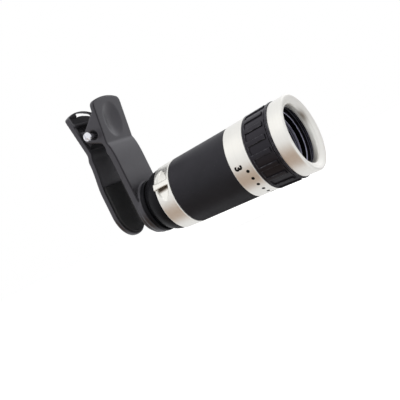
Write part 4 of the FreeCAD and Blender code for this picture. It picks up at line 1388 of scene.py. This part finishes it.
    def build_bezel(self) -> None:
        """Makes the silver bezel with its rounded nose, flat rim and bell mouth."""
        front, rear = self.bezel_front + self.mouth_reach, self.focus_front
        inner = self.tube_front_radius + self.fit
        collar_rear, collar_r = rear - self.collar_length, inner + self.collar_wall
        skin = self.bezel_rear_radius
        points = [(collar_rear, inner, 0.0), (collar_rear, collar_r, 0.0), (rear, collar_r, 0.0),
                  (rear, skin - 0.12, 0.0), (rear + 0.04, skin - 0.04, 0.6), (rear + 0.12, skin, 0.6),
                  (rear + 0.3, skin + 0.007, 0.0)]
        lip = self.bezel_radius - self.lip_round
        for step in range(13):
            way = math.pi / 2 * step / 12
            points.append((front - self.bezel_nose * (1 - math.sin(way)),
                           lip + self.lip_round * math.cos(way), 0.4))
        mouth = [(0.0, lip - 0.25), (0.35, lip - 1.2), (self.mouth_depth * 0.8, self.mouth_radius + 0.7),
                 (self.mouth_depth, self.mouth_radius), (self.mouth_depth + 0.5, self.mouth_radius - 0.2),
                 (self.throat_depth - 0.3, self.throat_radius + 0.03),
                 (self.throat_depth, self.throat_radius)]
        for (d0, r0), (d1, r1) in zip(mouth, mouth[1:]):
            points += [(front - d0 - (d1 - d0) * i / 4, r0 + (r1 - r0) * i / 4, 0.0) for i in range(4)]
        throat = front - self.throat_depth
        points += [(throat, self.throat_radius, 0.3), (throat, inner, 0.0)]
        bezel = turned_ring("front_bezel_nose", points, 176)
        # Painted reflection and painted shade in the mouth.
        mark_painted_shade(bezel, self.mouth_painted_shade)
        self.paint.carry(bezel, Slot.SILVER, Body.FOCUS, "front_bezel")

    def mouth_painted_shade(self, place: Vector, _: Vector) -> float:
        """Painted reflection and painted shade in the mouth next to its throat: a dark brown patch on the
        upper far side, and a faint darkening towards the throat.
        """
        depth = self.bezel_front + self.mouth_reach + place.y
        if math.hypot(place.x, place.z) > self.mouth_radius + 1.8 or depth > self.throat_depth + 0.1:
            return 0.0
        turn = math.degrees(math.atan2(place.x, place.z)) - self.shade_patch_angle
        along = (depth - self.shade_patch_depth) / self.shade_patch_reach
        patch = math.exp(-(turn / self.shade_patch_width) ** 2) * math.exp(-along ** 2)
        return 0.8 * patch + 0.06 * smooth((depth - 1.6) / (self.throat_depth - 1.6))

    def build_lining(self) -> None:
        """Makes the grooved black lining behind the bezel's mouth."""
        outer = self.tube_front_radius + self.fit - 0.02
        rear = self.focus_front - self.collar_length + 0.05
        front = self.bezel_front + self.mouth_reach - self.throat_depth
        shelf, lip = self.bezel_front - self.shelf_depth, self.shelf_radius
        wall = outer - self.lining_wall
        deep = wall + self.lining_groove
        # Painted highlight on the groove edges and the shelf's edge, from the cell's pale corner colour.
        points = [(rear, outer, 0.0), (front, outer, 0.0), (front, wall, 0.0)]
        step = (front - shelf) / self.groove_count
        for index in range(self.groove_count):
            high = front - step * index
            points += [(high - step * 0.5, wall, 0.2), (high - step * 0.6, deep, 0.0),
                       (high - step, deep, 0.0)]
        points += [(shelf, lip + 0.24, 0.0), (shelf - 0.05, lip + 0.1, 1.0), (shelf - 0.16, lip, 1.0),
                   (shelf - 0.4, lip, 0.0), (shelf - 0.42, deep, 0.0), (rear, deep, 0.0)]
        self.paint.carry(turned_ring("bezel_lining", points), Slot.CELL, Body.FOCUS)

    def build_lens_ring(self) -> None:
        """Makes the objective's retaining ring, whose bevels carry a painted highlight."""
        tip, seat = self.lens_ring_front, self.lens_ring_front - self.lens_ring_length
        outer, inner = self.lens_radius, self.lens_open
        points = [(seat, outer, 0.0), (tip - 0.1, outer, 0.3), (tip, outer - 0.08, 1.0),
                  (tip, outer - 0.22, 1.0), (tip - 0.06, outer - 0.3, 0.6), (tip - 0.7, inner + 0.1, 0.0),
                  (tip - 0.8, inner, 0.6), (seat, inner, 0.0)]
        ring = turned_ring("lens_ring_bevelled", points)
        self.paint.carry(ring, Slot.CELL, Body.CELL, "objective_lens_ring")


# Studio


@dataclass(frozen=True)
class Zone:
    """A soft round patch of the world that only gloss shows.

    Attributes:
        way: direction of its middle.
        reach: degrees from its middle to its edge.
        core: degrees from its middle to where it starts to fade.
        colour: its colour.
    """

    way: Triple
    reach: float
    core: float
    colour: Colour


@dataclass(frozen=True)
class Studio:
    """Plain pale floor, soft lamps and the camera at the photograph's viewing angle."""

    place: Triple = (-0.28942, -0.18145, -0.00486)
    right: Triple = (0.43144, -0.78568, -0.44336)
    up: Triple = (0.21471, -0.3879, 0.89634)
    forward: Triple = (0.87622, 0.48191, -0.00134)
    lens: float = 79.2
    aim: Triple = (0.0, -0.03, 0.012)
    floor_drop: float = 0.006
    floor_colour: Colour = (0.45, 0.45, 0.44)
    floor_glow: float = 0.92
    world_level: float = 0.1
    bright_colour: Colour = (0.98, 0.99, 1.01)
    soft: Zone = Zone((0.7, -0.66, -0.26), 48.0, 8.0, (0.8, 0.8, 0.82))
    window: Zone = Zone((0.9, -0.1, 0.42), 34.0, 8.0, (1.32, 1.33, 1.37))
    streak: Zone = Zone((-0.5, 0.482, 0.72), 34.0, 4.0, (1.2, 1.2, 1.2))
    dim: Zone = Zone((-0.54, 0.482, -0.69), 45.0, 8.0, (0.42, 0.29, 0.2))

    def build(self) -> None:
        """Sets up the world, floor, lamps and camera."""
        bpy.context.scene.view_settings.view_transform = "Standard"
        self.build_world()
        self.build_floor()
        self.add_lamp("key", (-0.523, 0.711, -0.487), 0.8, 16.0)
        self.add_lamp("side", (0.95, 0.35, 0.3), 0.9, 3.0)
        self.build_camera()
        LOG.info("studio ready")

    @staticmethod
    def seen(g: Graph) -> Socket:
        """Whether a ray comes from the camera, also through glass."""
        path = g.node("ShaderNodeLightPath").outputs
        return g.maths("MAXIMUM", path["Is Camera Ray"], path["Is Transmission Ray"])

    def build_world(self) -> None:
        """White world to the camera and glass, four zones to gloss, and a plain pale light elsewhere."""
        world = bpy.data.worlds.new("studio_world")
        bpy.context.scene.world = world
        world.use_nodes = True
        world.node_tree.nodes.clear()
        g = Graph(world.node_tree)
        way = g.node("ShaderNodeTexCoord").outputs["Generated"]
        sky: object = self.bright_colour
        for zone in (self.soft, self.window, self.streak, self.dim):
            facing = g.node("ShaderNodeVectorMath", {0: way, 1: zone.way}, operation="DOT_PRODUCT")
            near = g.ramp(facing.outputs["Value"], math.cos(math.radians(zone.reach)),
                          math.cos(math.radians(zone.core)))
            sky = g.mix(near, sky, zone.colour)
        glossy = g.node("ShaderNodeLightPath").outputs["Is Glossy Ray"]
        light = g.mix(glossy, (self.world_level,) * 3, sky)
        shade = g.node("ShaderNodeBackground", {"Color": g.mix(self.seen(g), light, WHITE), "Strength": 1.0})
        g.node("ShaderNodeOutputWorld", {"Surface": shade.outputs[0]})

    def build_floor(self) -> None:
        """Adds the pale floor just under the object, white to the camera where no shadow falls."""
        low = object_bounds()[0][2] - self.floor_drop
        bm = bmesh.new()
        bmesh.ops.create_grid(bm, x_segments=24, y_segments=24, size=3.0)
        for vert in bm.verts:
            vert.co.z = low
        floor = closed("floor", bm)
        material = bpy.data.materials.new("floor_paper")
        material.use_nodes = True
        material.node_tree.nodes.clear()
        g = Graph(material.node_tree)
        fibre = g.noise(g.node("ShaderNodeTexCoord").outputs["Object"], 900.0, 3.0)
        paper = g.node("ShaderNodeBsdfPrincipled", {"Base Color": self.floor_colour, "Roughness": 0.9,
                                                    "Specular IOR Level": 0.1})
        g.bump(paper, fibre, 0.1, 0.0001)
        level = g.times(self.seen(g), self.floor_glow)
        glow = g.node("ShaderNodeEmission", {"Color": WHITE, "Strength": level})
        both = g.node("ShaderNodeAddShader", {0: paper.outputs[0], 1: glow.outputs[0]})
        g.node("ShaderNodeOutputMaterial", {"Surface": both.outputs[0]})
        floor.data.materials.append(material)
        floor.visible_glossy = False
        floor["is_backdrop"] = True

    def add_lamp(self, name: str, way: Triple, size: float, watts: float) -> None:
        """Adds a soft square lamp aimed at the object's middle.

        Args:
            name: the lamp's name.
            way: its direction from the object as (camera right, camera up, camera forward).
            size: its side in metres.
            watts: its power.
        """
        side = Vector(self.right) * way[0] + Vector(self.up) * way[1] + Vector(self.forward) * way[2]
        data = bpy.data.lights.new(name, "AREA")
        data.shape = "SQUARE"
        data.size = size
        data.energy = watts
        lamp = bpy.data.objects.new(name, data)
        lamp.location = Vector(self.aim) + side
        lamp.visible_glossy = False
        lamp.rotation_euler = (-side).to_track_quat("-Z", "Y").to_euler()
        bpy.context.scene.collection.objects.link(lamp)

    def build_camera(self) -> None:
        """Adds the camera."""
        data = bpy.data.cameras.new("camera")
        data.sensor_width = 36.0
        data.lens = self.lens
        data.clip_start = 0.01
        data.clip_end = 20.0
        camera = bpy.data.objects.new("camera", data)
        turn = Matrix((self.right, self.up, tuple(-v for v in self.forward))).transposed()
        camera.matrix_world = Matrix.Translation(self.place) @ turn.to_4x4()
        bpy.context.scene.collection.objects.link(camera)
        bpy.context.scene.camera = camera


def main() -> None:
    """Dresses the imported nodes, builds the pieces that show and sets the studio."""
    logging.basicConfig(level=logging.INFO, format="%(name)s: %(message)s")
    paint = Paint()
    paint.dress_nodes()
    Clip(paint).build()
    Telescope(paint).build()
    Studio().build()


if __name__ == "__main__":
    main()
